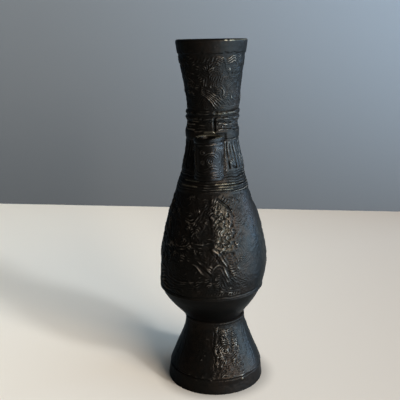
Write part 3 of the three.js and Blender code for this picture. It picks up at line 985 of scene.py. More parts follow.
def bronze_patina(name, finish):
    """Brown-black patina: dark grime that is partly painted shade in the recesses, painted shade on the
    inside, grey rubbed edges, a few bare spots, fine cast grain.
    """
    coat = COATS[name]
    paint = Paint(name)
    place = paint.place()
    worn = paint.attribute("worn")
    pocket = paint.attribute("pocket")
    bare = paint.attribute("bare")
    inner = 1.0 - paint.attribute("outer")
    drift = paint.noise(place, 14.0)
    mottle = paint.noise(place, 2.2, detail=4.0)
    grain = paint.noise(place, 0.45, detail=2.0)
    tones = (finish.patina, finish.russet, finish.verdigris)
    brown, red, green = (tuple(coat.tone * channel for channel in tone) for tone in tones)
    skin = paint.blend(paint.ease(drift * 0.6 + mottle * 0.4, 0.42, 0.64), brown, red)
    skin = paint.blend(paint.ease(mottle + pocket * 0.2, 0.58, 0.74) * 0.5, skin, green)
    # partly grime, partly painted shade in the recesses; the inside of each piece is painted dark as painted
    # shade
    skin = paint.blend(pocket * 0.9 + inner, skin, finish.soot)
    rub = paint.ease(worn * (0.4 + mottle) + (grain - 0.5) * 0.2, 0.2, 0.9) * coat.wear
    skin = paint.blend(rub, skin, finish.rubbed)
    shine = paint.ease(bare * (0.5 + mottle) + (grain - 0.5) * 0.3, 0.2, 0.8)
    skin = paint.blend(shine, skin, finish.bronze)
    rough = coat.gloss + pocket * 0.25 + inner * 0.5 + rub * 0.1 + (mottle - 0.5) * 0.2 + (grain - 0.5) * 0.1
    return paint.surface(
        {
            "Base Color": skin,
            "Metallic": 0.5 + rub * 0.2 + shine * 0.45,
            "Roughness": rough,
            "Specular IOR Level": 0.0,
            "Coat Weight": coat.film,
            "Coat Roughness": coat.film_gloss,
            "Coat IOR": coat.film_bend,
            "Specular Tint": (*finish.sheen, 1.0),
            "Normal": paint.bump(grain * 0.7 + mottle * 0.4, 0.1, 0.15),
        }
    )


def solder_film(finish):
    """Dull grey solder."""
    paint = Paint("soft_solder")
    place = paint.place()
    mottle = paint.noise(place, 1.5)
    dark = tuple(0.55 * channel for channel in finish.solder)
    return paint.surface(
        {
            "Base Color": paint.blend(paint.ease(mottle, 0.35, 0.65), dark, finish.solder),
            "Metallic": 0.7,
            "Roughness": 0.45 + mottle * 0.3,
            "Normal": paint.bump(mottle, 0.1, 0.4),
        }
    )


def plain_cloth(name, left_tone, right_tone):
    """A plain matt floor, painted lighter to the left, where less light falls, and with a painted contact
    shadow close to the foot.

    Outside the picture it has a painted pool of light on the right and painted shade in front, for what the
    metal mirrors.
    """
    paint = Paint(name)
    place = paint.place()
    across = paint.axis(place, "X")
    deep = paint.axis(place, "Y")
    away = paint.add("ShaderNodeVectorMath", {"operation": "LENGTH"}, {0: place}, output="Value")
    # painted light: lighter to the left, where less light falls
    tone = paint.blend(paint.ease(across, *FLOOR_PAINTED_LIGHT_DRIFT), left_tone, right_tone)
    # painted pool of light on the floor right of the picture
    painted_pool_tone = tuple(FLOOR_PAINTED_POOL_GAIN * channel for channel in right_tone)
    tone = paint.blend(paint.ease(across - deep * FLOOR_PAINTED_POOL_LEAN, *FLOOR_PAINTED_POOL), tone, painted_pool_tone)
    # painted shade on the floor in front of the picture
    painted_front_shade_tone = paint.blend(FLOOR_FRONT_PAINTED_SHADE, tone, BLACK)
    tone = paint.blend(paint.ease(deep - across * FLOOR_FRONT_LEAN, *FLOOR_FRONT), painted_front_shade_tone, tone)
    # painted contact shadow round the foot
    painted_shadow_tone = paint.blend(FLOOR_PAINTED_SHADOW_DEPTH, tone, BLACK)
    tone = paint.blend(paint.ease(away, *FLOOR_PAINTED_SHADOW), painted_shadow_tone, tone)
    return paint.surface({"Base Color": tone, "Roughness": 0.95})


def painted_wall(name, left_tone, right_tone):
    """A plain matt wall with painted light towards its right end and painted shade towards its foot."""
    paint = Paint(name)
    place = paint.place()
    # painted light: lighter towards the right end
    tone = paint.blend(paint.ease(paint.axis(place, "X"), *WALL_PAINTED_LIGHT_DRIFT), left_tone, right_tone)
    # painted shade: darker towards the foot
    painted_shade_tone = paint.blend(WALL_FOOT_PAINTED_SHADE, tone, BLACK)
    tone = paint.blend(paint.ease(paint.axis(place, "Z"), *WALL_PAINTED_SHADE_RISE), painted_shade_tone, tone)
    return paint.surface({"Base Color": tone, "Roughness": 0.95})


def make_once(name, maker, *values):
    """A material, made the first time it is asked for."""
    return bpy.data.materials.get(name) or maker(*values)


# Sections

def foot_outlines(sizes):
    """The foot's outside from the standing edge up, and its hollow from the top down."""
    band_top = FOOT_RADIUS - sizes.foot_band_taper
    groove_top = sizes.foot_band_height + sizes.foot_groove_width
    flare_top = WAIST_LEVEL - sizes.waist_bead_height
    flare = cubic(
        (band_top, groove_top),
        (band_top - 1.9, groove_top + 5.5),
        (sizes.waist_radius + 0.6, flare_top - 6.8),
        (sizes.waist_radius + 0.15, flare_top),
    )
    groove_floor = (band_top - sizes.foot_groove_depth, sizes.foot_band_height + sizes.foot_groove_width / 2)
    outside = evenly(
        [
            (FOOT_RADIUS, 0.0),
            (FOOT_RADIUS + 0.15, 0.25),
            (FOOT_RADIUS + 0.1, 0.8),
            (band_top + 0.05, sizes.foot_band_height - 0.2),
            (band_top - 0.1, sizes.foot_band_height),
            groove_floor,
            *flare,
            (sizes.waist_radius, WAIST_LEVEL),
        ],
        step=0.25,
    )
    bead_middle = WAIST_LEVEL - sizes.waist_bead_height / 2
    outside = ringed(outside, [bead_middle], sizes.waist_bead_height, sizes.waist_bead_depth)
    socket_bottom = BOWL_LOW.z - SOCKET_GAP
    hollow = [(radius - sizes.foot_wall, level) for radius, level in flare[::-3] if level < socket_bottom]
    inside = [
        (FOOT_SPIGOT_RADIUS, WAIST_LEVEL),
        (FOOT_SPIGOT_RADIUS, socket_bottom),
        *hollow,
        (FOOT_RADIUS - sizes.foot_wall, sizes.foot_band_height),
        (FOOT_RADIUS - sizes.foot_wall, 0.4),
        (FOOT_RADIUS - sizes.foot_wall + 0.4, 0.0),
    ]
    return outside, np.array(inside)


def bowl_outlines(sizes):
    """The bowl's outside from the waist to the seam, then its spigots and its floor."""
    seat = sizes.waist_radius - sizes.bowl_setback
    curve = cubic(
        (seat, WAIST_LEVEL),
        (seat + 2.9, WAIST_LEVEL + 3.8),
        (SEAM_RADIUS - 1.0, SEAM_LEVEL - 4.6),
        (SEAM_RADIUS, SEAM_LEVEL),
    )
    outside = evenly(curve, step=0.4)
    upper = BODY_SPIGOT_RADIUS - SOLDER_FILM
    bore = upper - sizes.spigot_wall
    lower = FOOT_SPIGOT_RADIUS - SOLDER_FILM
    floor = FLOOR_HIGH.z
    tangent = tangents(outside)
    wall = outside + np.column_stack([-tangent[:, 1], tangent[:, 0]]) * sizes.bowl_wall
    wall = [tuple(p) for p in wall[::-3] if p[1] > floor + 0.2 and p[0] < bore]
    inside = [
        (upper, SEAM_LEVEL),
        (upper, BOWL_HIGH.z),
        (bore, BOWL_HIGH.z),
        (bore, wall[0][1] + 0.5),
        *wall,
        (wall[-1][0] - 0.5, floor),
        (REBATE_RADIUS, floor),
        (REBATE_RADIUS, FLOOR_LOW.z),
        (REBATE_RADIUS - sizes.floor_flange, FLOOR_LOW.z),
        (REBATE_RADIUS - sizes.floor_flange, WAIST_LEVEL),
        (lower - sizes.spigot_wall, WAIST_LEVEL),
        (lower - sizes.spigot_wall, BOWL_LOW.z),
        (lower, BOWL_LOW.z),
        (lower, WAIST_LEVEL),
    ]
    return outside, np.array(inside)


def body_outlines(sizes):
    """The body's outside from the seam to the shoulder, and its inside from the top down."""
    seat = SEAM_RADIUS + sizes.body_overhang
    belly = SEAM_LEVEL + sizes.belly_height
    lower = cubic(
        (seat, SEAM_LEVEL),
        (seat, SEAM_LEVEL + 2.0),
        (BELLY_RADIUS, belly - 4.0),
        (BELLY_RADIUS, belly),
    )
    upper = cubic(
        (BELLY_RADIUS, belly),
        (BELLY_RADIUS, belly + 12.0),
        (sizes.shoulder_radius + 2.4, SHOULDER_LEVEL - 8.5),
        (sizes.shoulder_radius, SHOULDER_LEVEL),
    )
    outside = evenly([*lower, *upper[1:]], step=0.25)
    socket_top = BOWL_HIGH.z + SOCKET_GAP
    socket_bottom = NECK_LOW_LEVEL - SOCKET_GAP
    wall = [
        (radius - sizes.body_wall, level)
        for radius, level in [*upper[::-3], *lower[::-6]]
        if socket_top < level < socket_bottom
    ]
    inside = [
        (NECK_SPIGOT_RADIUS, SHOULDER_LEVEL),
        (NECK_SPIGOT_RADIUS, socket_bottom),
        *wall,
        (BODY_SPIGOT_RADIUS, socket_top),
        (BODY_SPIGOT_RADIUS, SEAM_LEVEL),
    ]
    return outside, np.array(inside)


def neck_rings(sizes):
    """The levels of the middles of the neck's rings, the shoulder's three and the mouth's two."""
    lower = [SHOULDER_LEVEL + RING_START + RING_PITCH * (ring + 0.5) for ring in range(3)]
    upper_bottom = SHOULDER_LEVEL + sizes.collar_bottom + sizes.collar_height + sizes.collar_strip
    return [*lower, *(upper_bottom + UPPER_RING_PITCH * (ring + 0.5) for ring in range(2))]


def neck_outlines(sizes):
    """The neck's outside from the shoulder to the mouth, and its bore from the top down."""
    root = SHOULDER_LEVEL + sizes.neck_root_height
    collar = SHOULDER_LEVEL + sizes.collar_bottom
    collar_top = collar + sizes.collar_height
    strip_top = collar_top + sizes.collar_strip
    sweep = cubic(
        (sizes.neck_root_radius, root),
        (sizes.neck_root_radius - 0.4, root + 5.0),
        (sizes.neck_radius, collar - 5.0),
        (sizes.neck_radius, collar),
    )
    proud = sizes.neck_radius + sizes.collar_depth
    core = evenly(
        [
            (NECK_BASE_RADIUS, SHOULDER_LEVEL),
            *sweep,
            (proud, collar + 0.4),
            (proud, collar_top - 1.6),
            (sizes.neck_radius - 0.3, collar_top + 0.4),
            (sizes.neck_top_radius - 0.3, strip_top - 0.2),
            (sizes.neck_top_radius, strip_top),
            (sizes.neck_top_radius, NECK_TOP_LEVEL),
        ],
        step=0.2,
    )
    rings = neck_rings(sizes)
    outside = ringed(core, rings[:3], sizes.ring_height, 0.35 * sizes.ring_depth)
    outside = ringed(outside, rings[3:], 1.1 * sizes.ring_height, 0.8 * sizes.ring_depth)
    spigot = NECK_SPIGOT_RADIUS - SOLDER_FILM
    spigot_bore = spigot - sizes.spigot_wall
    socket_bottom = MOUTH_LOW_LEVEL - SOCKET_GAP
    inside = [
        (MOUTH_SPIGOT_RADIUS, NECK_TOP_LEVEL),
        (MOUTH_SPIGOT_RADIUS, socket_bottom),
        (sizes.neck_bore, socket_bottom),
        (sizes.neck_bore, SHOULDER_LEVEL + 10.0),
        (spigot_bore, SHOULDER_LEVEL),
        (spigot_bore, NECK_LOW_LEVEL),
        (spigot, NECK_LOW_LEVEL),
        (spigot, SHOULDER_LEVEL),
    ]
    return outside, np.array(inside)


def mouth_outlines(sizes):
    """The trumpet's outside up to its lip, and its inside from the lip down."""
    lip_bottom = LIP_LEVEL - sizes.lip_height
    trumpet = cubic(
        (sizes.neck_top_radius, NECK_TOP_LEVEL),
        (sizes.neck_top_radius, NECK_TOP_LEVEL + 7.0),
        (sizes.mouth_radius - 1.1, lip_bottom - 6.3),
        (sizes.mouth_radius, lip_bottom),
    )
    outside = evenly(
        [
            *trumpet,
            (sizes.mouth_radius + sizes.lip_step, lip_bottom + 0.25),
            (LIP_RADIUS, LIP_LEVEL - 0.7),
            (LIP_RADIUS - 0.1, LIP_LEVEL - 0.3),
            (LIP_RADIUS - 0.45, LIP_LEVEL - 0.03),
        ],
        step=0.22,
    )
    wall_bottom = NECK_TOP_LEVEL + SOCKET_GAP
    wall = [(radius - sizes.mouth_wall, level) for radius, level in trumpet[::-2] if level > wall_bottom]
    spigot = MOUTH_SPIGOT_RADIUS - SOLDER_FILM
    inside = [
        (LIP_RADIUS - 0.8, LIP_LEVEL),
        (LIP_RADIUS - sizes.mouth_wall + 0.4, LIP_LEVEL - 0.05),
        (LIP_RADIUS - sizes.mouth_wall + 0.1, LIP_LEVEL - 0.4),
        *wall,
        (sizes.neck_bore, NECK_TOP_LEVEL),
        (sizes.neck_bore, MOUTH_LOW_LEVEL),
        (spigot, MOUTH_LOW_LEVEL),
        (spigot, NECK_TOP_LEVEL),
    ]
    return outside, np.array(inside)


def ear_outlines(sizes):
    """An ear's outside from its lower rim up, and its bore from the top down."""
    low, high = EAR_LOW.z, EAR_HIGH.z
    rim = sizes.ear_rim_height
    outside = evenly(
        [
            (EAR_RIM_RADIUS - 0.35, low),
            (EAR_RIM_RADIUS, low + 0.35),
            (EAR_RIM_RADIUS, low + rim),
            (sizes.ear_radius, low + rim + 0.4),
            (sizes.ear_radius, high - rim - 0.4),
            (EAR_RIM_RADIUS, high - rim),
            (EAR_RIM_RADIUS, high - 0.35),
            (EAR_RIM_RADIUS - 0.35, high),
            (sizes.ear_bore + 0.45, high),
            (sizes.ear_bore + 0.05, high - 0.45),
        ],
        step=0.2,
    )
    inside = [
        (sizes.ear_bore, high - 0.6),
        (sizes.ear_bore, low + 0.3),
        (sizes.ear_bore + 0.3, low),
    ]
    return outside, np.array(inside)


# Compositions

def landscape(side, draws):
    """The hill, rocks, leaves and water of one side of the body."""
    side.plate(-4, 12, 64.5, 88, 0.25, 2.6)
    side.plate(-3, 27, 66, 83, 0.22, 4.0)
    side.plate(-3, 24, 64, 86, 0.27, 5.0, "bare")
    side.plate(56, 104, 46, 78, 0.24, 8.0, "bare")
    edge = [(1, 88.5), (-2, 86), (-4, 83), (-2, 79.5), (0, 75.3), (1, 72.9), (-1, 69.3)]
    side.trace(edge, 0.9, 0.3, taper=0.2)
    side.cut([(angle - 3.4, level) for angle, level in edge[3:]], 1.1, 0.14)
    side.trace([(-6, 83), (1, 83.7), (9, 84.9), (15, 83.2), (21, 81), (26, 78)], 0.9, 0.6, taper=0.3)
    side.cut([(6, 86.5), (13, 85), (22, 82.6), (28, 79.2)], 0.9, 0.4)
    for drop in (0.0, 1.1, 2.2):
        side.trace([(13, 82.2), (19, 80.6), (25, 77.8)], 0.75, 0.6, drop=drop)
    boulders(side, -2, 25, 63.5, 83, 1.15, draws)
    side.rub(15, 71.7, 3.0, 0.3)
    side.boss(16, 67.5, 1.3, 1.3)
    for drop in (0.0, 1.3, 2.7, 4.0):
        side.trace([(-45, 81.3), (-36, 80.3), (-29, 81.4)], 0.8, 0.9, drop=drop, shift=1.5 * drop)
    crescents(side.pen(-52, 77, height=0.8), 4, 1.9, 1.5)
    side.trace([(-30, 72.5), (-25, 77), (-16, 80.5), (-9, 84)], 0.9, 0.45)
    side.trace([(-28, 71), (-19, 75), (-13, 79), (-8, 83)], 0.8, 0.4)
    side.trace([(-21, 71), (-13, 74.5), (-8, 78.5)], 0.8, 0.6)
    eye(side.pen(-18, 72.2, width=0.6, height=0.8), 0.7)
    side.trace([(-25, 68.8), (-22, 68.3), (-14, 68.6), (-2, 69.3)], 0.9, 1.15, taper=0.2)
    side.trace([(-23, 67.2), (-16, 67.2), (-9, 67.8)], 0.8, 0.9)
    side.cut([(-24, 66.2), (-14, 66.2), (-4, 66.8)], 0.9, 0.2)
    for drop in (0.0, 1.3):
        side.trace([(-48, 68.6), (-42, 66.9), (-34, 67), (-28, 68.5)], 0.8, 0.8, drop=drop)
    side.trace([(-2, 66.6), (3, 64.9), (8, 62.4), (12, 59.6)], 1.2, 1.0, taper=0.3)
    side.trace([(2, 67), (7, 64.9), (12, 62), (16, 59)], 0.8, 0.8)
    side.cut([(-4.5, 65.8), (0, 63.7), (5, 60.9), (8, 58.6)], 0.8, 0.22)
    stipple(side.pen(-7, 62.5, height=0.7), 4.0, 5.5, 1.1, draws)
    side.trace([(-17, 61.9), (-13, 60.4), (-8, 59.3), (-2, 56.2)], 0.9, 1.15, taper=0.4)
    side.trace([(-23, 60.4), (-19, 59.5), (-13, 56.9), (-5, 54)], 0.85, 1.1, taper=0.4)
    side.cut([(-15, 59.8), (-9, 57.9), (-4, 55.4)], 1.2, 0.2)
    side.trace([(-28, 54), (-24, 51.6), (-17, 50.4)], 1.0, 1.0)
    side.trace([(-30, 57), (-25, 55), (-18, 53.6)], 0.8, 0.6)
    for inner in (0.0, 1.4, 2.8):
        bow = [
            (-3 + inner, 57),
            (3 + inner, 59.8 - inner),
            (11 - inner, 57.8 - inner),
            (17 - 1.6 * inner, 51.5),
        ]
        side.trace(bow, 0.85, 1.0 - 0.2 * inner, taper=0.3)
    for row in range(5):
        lift = 1.25 * row
        wave = [(-88, 46.8), (-72, 47.6), (-56, 46.6), (-42, 47.4), (-31 - 4 * row, 46.6)]
        side.trace([(angle + 5 * row, level + lift) for angle, level in wave], 0.8, 0.9, taper=0.3)
    beads(side.pen(12, 47.4, width=0.75, height=0.8), 14.5, 1.15, 1.0)
    beads(side.pen(46, 47.6, width=0.7, height=0.5), 11.0, 1.15, 1.0)
    for row in range(6):
        side.trace([(17, 60.4), (24, 61.6), (30, 63.4)], 0.65, 0.6, drop=1.05 * row, shift=0.8 * row)
    for row in range(4):
        side.trace([(30, 76.4), (38, 76), (48, 76.4)], 0.65, 0.45, drop=1.1 * row, shift=2.0 * row)
    cloud(side.pen(50, 82, width=0.7, height=0.5), 1.7)
    crescents(side.pen(56, 66, width=0.7, height=0.6), 4, 2.2, 1.7)
    crescents(side.pen(68, 58, width=0.7, height=0.8), 5, 2.2, 1.7)


def shore(side, draws):
    """Hills over water, on the sides between the two landscapes."""
    side.plate(-16, 20, 58, 80, 0.22, 3.0)
    for angle, level in ((-10, 80), (9, 76.5)):
        side.trace([(angle - 12, level - 4.5), (angle, level), (angle + 13, level - 6)], 1.0, 1.1, taper=0.3)
        fold = [(angle + 1, level), (angle + 6, level - 2.4), (angle + 12, level - 5.6)]
        for drop in (1.4, 2.6, 3.8):
            side.trace(fold, 0.75, 0.8, drop=drop)
    boulders(side, -12, 18, 59, 70, 1.75, draws)
    cloud(side.pen(-6, 85, width=0.7), 1.6)
    cloud(side.pen(24, 67, width=0.8), 2.2)
    side.trace([(-34, 64), (-26, 62.4), (-16, 58)], 1.1, 1.2, taper=0.3)
    side.trace([(-37, 62), (-29, 60.4), (-19, 56)], 1.0, 1.1, taper=0.3)
    for row in range(5):
        wave = [(-26, 54.6), (-13, 55.6), (0, 54.4), (13, 55.6), (26, 54.6)]
        side.trace(wave, 0.85, 1.0, taper=0.3, drop=1.3 * row, shift=3.0 * row)
    beads(side.pen(0, 47.4, width=0.75, height=0.8), 19.0, 1.15, 1.0)


def body_relief(face, sizes, relief, draws):
    """All the relief of the body."""
    height = relief.figure_height
    for turn in (0.0, 180.0):
        landscape(Side(face, VIEW_TURN + turn, height), draws)
    for turn in (98.0, 278.0):
        shore(Side(face, VIEW_TURN + turn, height), draws)
    face.ring(SEAM_LEVEL + 0.7, 0.6, 0.05)
    face.ring(SEAM_LEVEL + 1.4, 0.6, 0.3, "cuts")
    ground = 1.35 * relief.ground_height
    feathers(face, SEAM_LEVEL + 1.8, SHOULDER_LEVEL - 0.5, 2.9, 0.95, ground, draws, clear=0.11)
    for turn in (0.0, 180.0):
        face.rub_down(VIEW_TURN + turn + 60.0, 44.0, 0.9)


def mouth_side(side):
    """Ribbons, feathers and slanting lines on a third of the trumpet."""
    for drop in (0.0, 0.85, 1.7):
        ribbon = [(14, 142.6), (18, 143.1), (24, 142.2), (32, 142.9), (40, 143.4), (48, 142.6)]
        side.trace(ribbon, 0.55, 1.1, drop=drop, shift=1.5 * drop, taper=0.3)
    for angle in (-30, -24, -18, -11, -5, 1, 7):
        side.trace([(angle - 4, 141.2), (angle - 1, 142.1), (angle + 1, 143.2)], 0.55, 0.9)
    for ring in (0.0, 0.9, 1.8):
        side.trace([(-9 + 2 * ring, 136.4), (-2, 138.4 - ring), (9 - ring, 139.4 - ring)], 0.6, 1.0)
        side.trace([(24 + ring, 140.2 - ring), (32, 138.8 - ring), (36 - ring, 135.6)], 0.6, 1.0)
    bosses = ((16, 139.6, 1.0), (20, 136.4, 1.2), (27, 134.2, 1.0), (31, 131.6, 0.9), (12, 134.2, 0.9))
    for angle, level, size in bosses:
        side.boss(angle, level, size, 0.7)
    for angle in (-15, -11):
        side.trace([(angle, 135), (angle - 1, 131.6)], 0.6, 0.9, taper=0.3)
    side.trace([(13, 131.1), (19, 130.6), (22, 129.4), (22, 128)], 0.9, 1.5, taper=0.3)
    side.trace([(10, 132.4), (18, 132.2), (25, 130), (26, 128)], 0.55, 0.9)
    for row in range(5):
        line = [(-21 - row, 131.2), (0 - 2 * row, 129), (26 - 4.5 * row, 124.6)]
        side.trace(line, 0.5, 1.2, drop=0.62 * row, taper=0.2)
    side.trace([(40, 128.2), (42, 126.9), (45, 126.2)], 0.9, 1.3)
    side.rub(42, 126.9, 1.2, 0.4)
    for row in range(4):
        side.trace([(46, 138), (52, 136.8), (60, 137.4)], 0.55, 0.8, drop=0.9 * row, shift=2.0 * row)
        side.trace([(50, 131), (58, 129.6), (66, 130.4)], 0.55, 0.8, drop=0.9 * row, shift=-2.0 * row)


def mouth_relief(face, sizes, relief, draws):
    """All the relief of the trumpet, three times round, and the plain lip."""
    relief.sink -= MOUTH_SWELL
    for index in range(3):
        mouth_side(Side(face, VIEW_TURN + 120.0 * index, 0.78 * relief.figure_height))
    for level in (122.6, 123.5):
        face.ring(level, 0.55, 0.2)
    for start, end, amount in RUBBED_LIP:
        face.plate(VIEW_TURN + start, VIEW_TURN + end, LIP_LEVEL - 0.7, LIP_LEVEL, amount, 0.5, "bare")
    lip = LIP_LEVEL - sizes.lip_height
    feathers(face, 123.8, lip - 0.2, 2.8, 0.85, 0.9 * relief.ground_height, draws, clear=0.07)
    for angle in draws.uniform(0.0, 360.0, 22):
        notch = Pen(face, angle, lip + 0.3, 0.3, width=0.9, layer="cuts")
        left, right = draws.uniform(0.6, 1.8), draws.uniform(0.6, 1.8)
        notch.line([(-left, 0.0), (right, draws.uniform(-0.2, 0.3))], taper=0.6)


def fret(side):
    """A key fret beside an ear: leaning grooves that turn back at the bottom, in a double frame."""
    side.plate(25, 72, 96.6, 109.6, 0.2, 0.6)
    side.cut([(30, 109.2), (30, 104.2), (33, 99.2), (34, 98.2)], 0.8, 0.45, taper=0.1)
    side.cut([(37, 108), (38, 104), (40, 101.2)], 0.6, 0.28, taper=0.1)
    side.cut([(44, 109), (46, 106), (50, 101.7), (49, 98.2), (41, 98.6)], 0.8, 0.45, taper=0.1)
    side.cut([(55, 108.4), (58, 104.5), (60, 99.5), (57, 97.9)], 0.7, 0.3, taper=0.1)
    side.cut([(66, 108.6), (68, 103), (70, 98)], 0.85, 0.5, taper=0.1)
    side.cut([(75, 106), (76, 102)], 0.7, 0.4, taper=0.1)
    for level in (96.1, 95.3, 110.0):
        side.trace([(20, level), (45, level), (72, level)], 0.55, 0.8, taper=0.1)


def collar(side):
    """A panel of the collar: a dark upright groove between two bars, with lines to each side."""
    side.cut([(4, 118.6), (4, 116), (4, 113.4)], 1.1, 0.6, taper=0.0)
    side.cut([(-4, 117.5), (12, 117.3)], 0.7, 0.4)
    for angle in (-1.5, 9.5):
        side.trace([(angle, 118), (angle, 113.6)], 0.7, 0.22, taper=0.1)
    for level in (117.6, 116, 114.8, 113.6):
        side.trace([(-42, level), (-26, level), (-8, level)], 0.6, 0.6, taper=0.3)
    side.cut([(12, 117.2), (30, 117.1), (48, 117)], 0.6, 0.35)
    for level in (116.2, 114.1):
        side.trace([(12, level), (30, level), (48, level)], 0.9, 1.0, taper=0.2)
    side.boss(22, 115.1, 1.1, 1.2)
    side.trace([(27, 115.2), (36, 115.3), (46, 115.1)], 0.55, 0.7)


def neck_relief(face, sizes, relief, draws):
    """The rings' fine lines, the collar's panels, the key frets and the seats of the ears."""
    relief.sink -= NECK_SWELL
    for index in range(4):
        collar(Side(face, VIEW_TURN + 90.0 * index, relief.fret_height))
    for ear in (0.0, 180.0):
        for hand in (-1, 1):
            fret(Side(face, ear + VIEW_TURN * hand, relief.fret_height, hand))
        face.plate(ear - 34, ear + 34, 109.4, 112.6, -0.45, 1.2)
        face.plate(ear - 14, ear + 12, 112.5, 113.7, 0.4, 0.8, "bare")
        face.plate(ear + 6, ear + 50, 119.9, 121.5, 0.28, 1.2, "bare")
        for start, end, level, amount in RUBBED_RINGS:
            bottom, top = level - RUBBED_CREST, level + RUBBED_CREST
            face.plate(ear + start, ear + end, bottom, top, amount, 0.5, "bare")
    for ear in (90.0, 270.0):
        for angle in (ear - 5, ear + 5):
            Pen(face, angle, 103.0, 0.5 * relief.fret_height, width=0.8).line([(0.0, -6.5), (0.0, 6.5)])
    for level in np.arange(88.9, 95.4, 1.05):
        face.ring(level, 0.8, 0.27)
        face.ring(level + 0.52, 0.6, 0.06, "cuts")
    for angle in (VIEW_TURN - 88.0, VIEW_TURN + 92.0):
        face.plate(angle - 26, angle + 26, 95.6, 101.8, 0.25, 3.5)
    for level in (117.5, 118.55, 120.85, 121.9):
        face.ring(level, 0.6, 0.2)
    for level in (118.55, 120.85):
        for angle in draws.uniform(0.0, 360.0, 16):
            nick = Pen(face, angle, level, 0.35, width=1.2, layer="cuts")
            left, right = draws.uniform(0.2, 1.6), draws.uniform(0.2, 1.6)
            nick.line([(-left, 0.3), (right, draws.uniform(-0.5, 0.2))], taper=0.6)
    feathers(face, 95.8, 110.5, 2.8, 0.9, 0.7 * relief.ground_height, draws)


def foot_panel(side, draws):
    """The ornament on one side of the foot: a ridge between scrolls, an eye and fine lines."""
    side.plate(-27, 38, 5.2, 8.4, 0.3, 2.6)
    side.trace([(0.5, 27.6), (0.5, 20), (0.5, 11.6)], 0.9, 0.58, taper=0.1)
    side.cut([(-3.5, 26), (-3, 20), (-2.5, 11)], 0.9, 0.18, taper=0.1)
    for level in (24.2, 20.4, 15.8, 12.2):
        side.boss(2, level, 1.2, 1.2)
    eye(side.pen(14, 17.8, width=0.6), 0.85)
    for reach in (2.9, 3.8, 4.7):
        side.pen(14, 17.8, width=0.6).arc(0.0, 0.0, reach, 20, 160, taper=0.4)
    for row in range(3):
        side.trace([(5, 27.4), (16, 26.2), (30, 27)], 0.55, 0.9, drop=0.95 * row)
        side.trace([(26, 21), (31, 17), (32, 12.4)], 0.55, 0.9, shift=3.2 * row)
        side.trace([(5, 13.6), (14, 12.4), (24, 13.4)], 0.55, 0.9, drop=0.95 * row)
    for level in (9.4, 8.3):
        side.trace([(8, level + 0.2), (20, level), (34, level - 1)], 0.6, 0.9, taper=0.2)
    left_bosses = (
        (-18, 15.9), (-22, 13.9), (-14, 13.9), (-22, 11.1), (-8, 11.6), (-12, 6.7), (-6, 6.8), (-13, 20),
    )
    for angle, level in left_bosses:
        side.boss(angle, level, 1.2, 0.9)
        side.rub(angle, level, 1.3, 0.2, right=0.2, up=0.1)
    side.trace([(-22, 22.6), (-18, 22.8), (-13, 22.5)], 0.8, 0.9)
    side.trace([(-21, 26), (-12, 25.4), (-6, 26)], 0.6, 0.7)
    side.trace([(-24, 18.4), (-16, 17.6), (-8, 18.6)], 0.6, 0.7)
    stipple(side.pen(-14, 9.0, height=0.5), 4.5, 2.5, 1.2, draws)
    stipple(side.pen(2, 6.0, height=0.5), 8.0, 2.4, 1.2, draws)
    side.boss(34, 5.6, 1.5, 0.8)
    side.rub(34, 5.6, 1.7, 0.45)


def foot_relief(face, sizes, relief, draws):
    """A scroll panel on the front and on the back of the foot, plain sides with faint ridges."""
    for turn in (0.0, 180.0):
        side = Side(face, VIEW_TURN + turn, relief.mask_height)
        foot_panel(side, draws)
        for angle in (52, 65, 79, 92, 105, 118):
            side.trace([(angle, 25), (angle + 1, 18), (angle + 1.5, 10)], 0.9, 0.25)
    panel = CastFace(np.column_stack([face.radius, face.level]), face.columns)
    panel.layers["ridges"] = face.layers["ridges"].copy()
    feathers(panel, 8.0, WAIST_LEVEL - 2.6, 2.2, 0.85, relief.ground_height * 1.8, draws, clear=0.2)
    angle = (np.arange(face.columns) * face.column_turn - VIEW_TURN - 16.0 + 90.0) % 180.0 - 90.0
    middle = limited((26.0 - np.abs(angle)) / 6.0)
    beside = limited((22.0 - np.abs(angle + 48.0)) / 8.0)
    ground = panel.layers["ridges"] * (middle + 0.4 * beside)[None, :]
    face.layers["ridges"] = np.maximum(face.layers["ridges"], ground)


def ear_relief(face, sizes, relief, draws):
    """Border lines, scrolls and an eye on the outside of an ear, and its rubbed rim."""
    height = 0.8 * relief.fret_height
    middle = (EAR_LOW.z + EAR_HIGH.z) / 2
    side = Side(face, VIEW_TURN, height)
    for angle in (-68, -57, 57, 68):
        side.pen(angle, middle, width=0.6).line([(0.0, -6.6), (0.0, 6.2)])
    for level in (EAR_LOW.z + 2.2, EAR_LOW.z + 3.2, EAR_HIGH.z - 2.2):
        side.pen(0.0, level, width=0.6).line([(-5.6, 0.0), (5.6, 0.0)])
    eye(side.pen(6, middle - 0.4, width=0.6), 0.8)
    pen = side.pen(6, middle, width=0.6)
    for reach in (2.7, 3.6):
        pen.arc(0.0, -0.4, reach, 20, 170, taper=0.4)
    for x in (1.6, 2.4, 3.2, 4.0):
        pen.line([(x, 2.2), (x + 1.0, 5.0)], height=0.9, taper=0.4)
    for y in (-3.0, -4.0):
        pen.curve([(-4.0, y + 0.8), (-2.4, y), (0.0, y + 0.7), (3.4, y)])
    pen.spiral(-3.2, 3.4, 1.1, 1.2, start=120)
    pen.spiral(-3.6, -0.6, 0.9, -1.2, start=60)
    top = 0.65 * limited((face.run - face.run[-1] + 2.0) / 0.4)
    back = limited((125.0 - face.turn_from(150.0)) / 15.0)
    low = 0.15 * limited((1.7 - face.run) / 0.3)
    front = limited((60.0 - face.turn_from(25.0)) / 30.0)
    face.layers["bare"] = top[:, None] * back[None, :] + low[:, None] * front[None, :]


# Operators

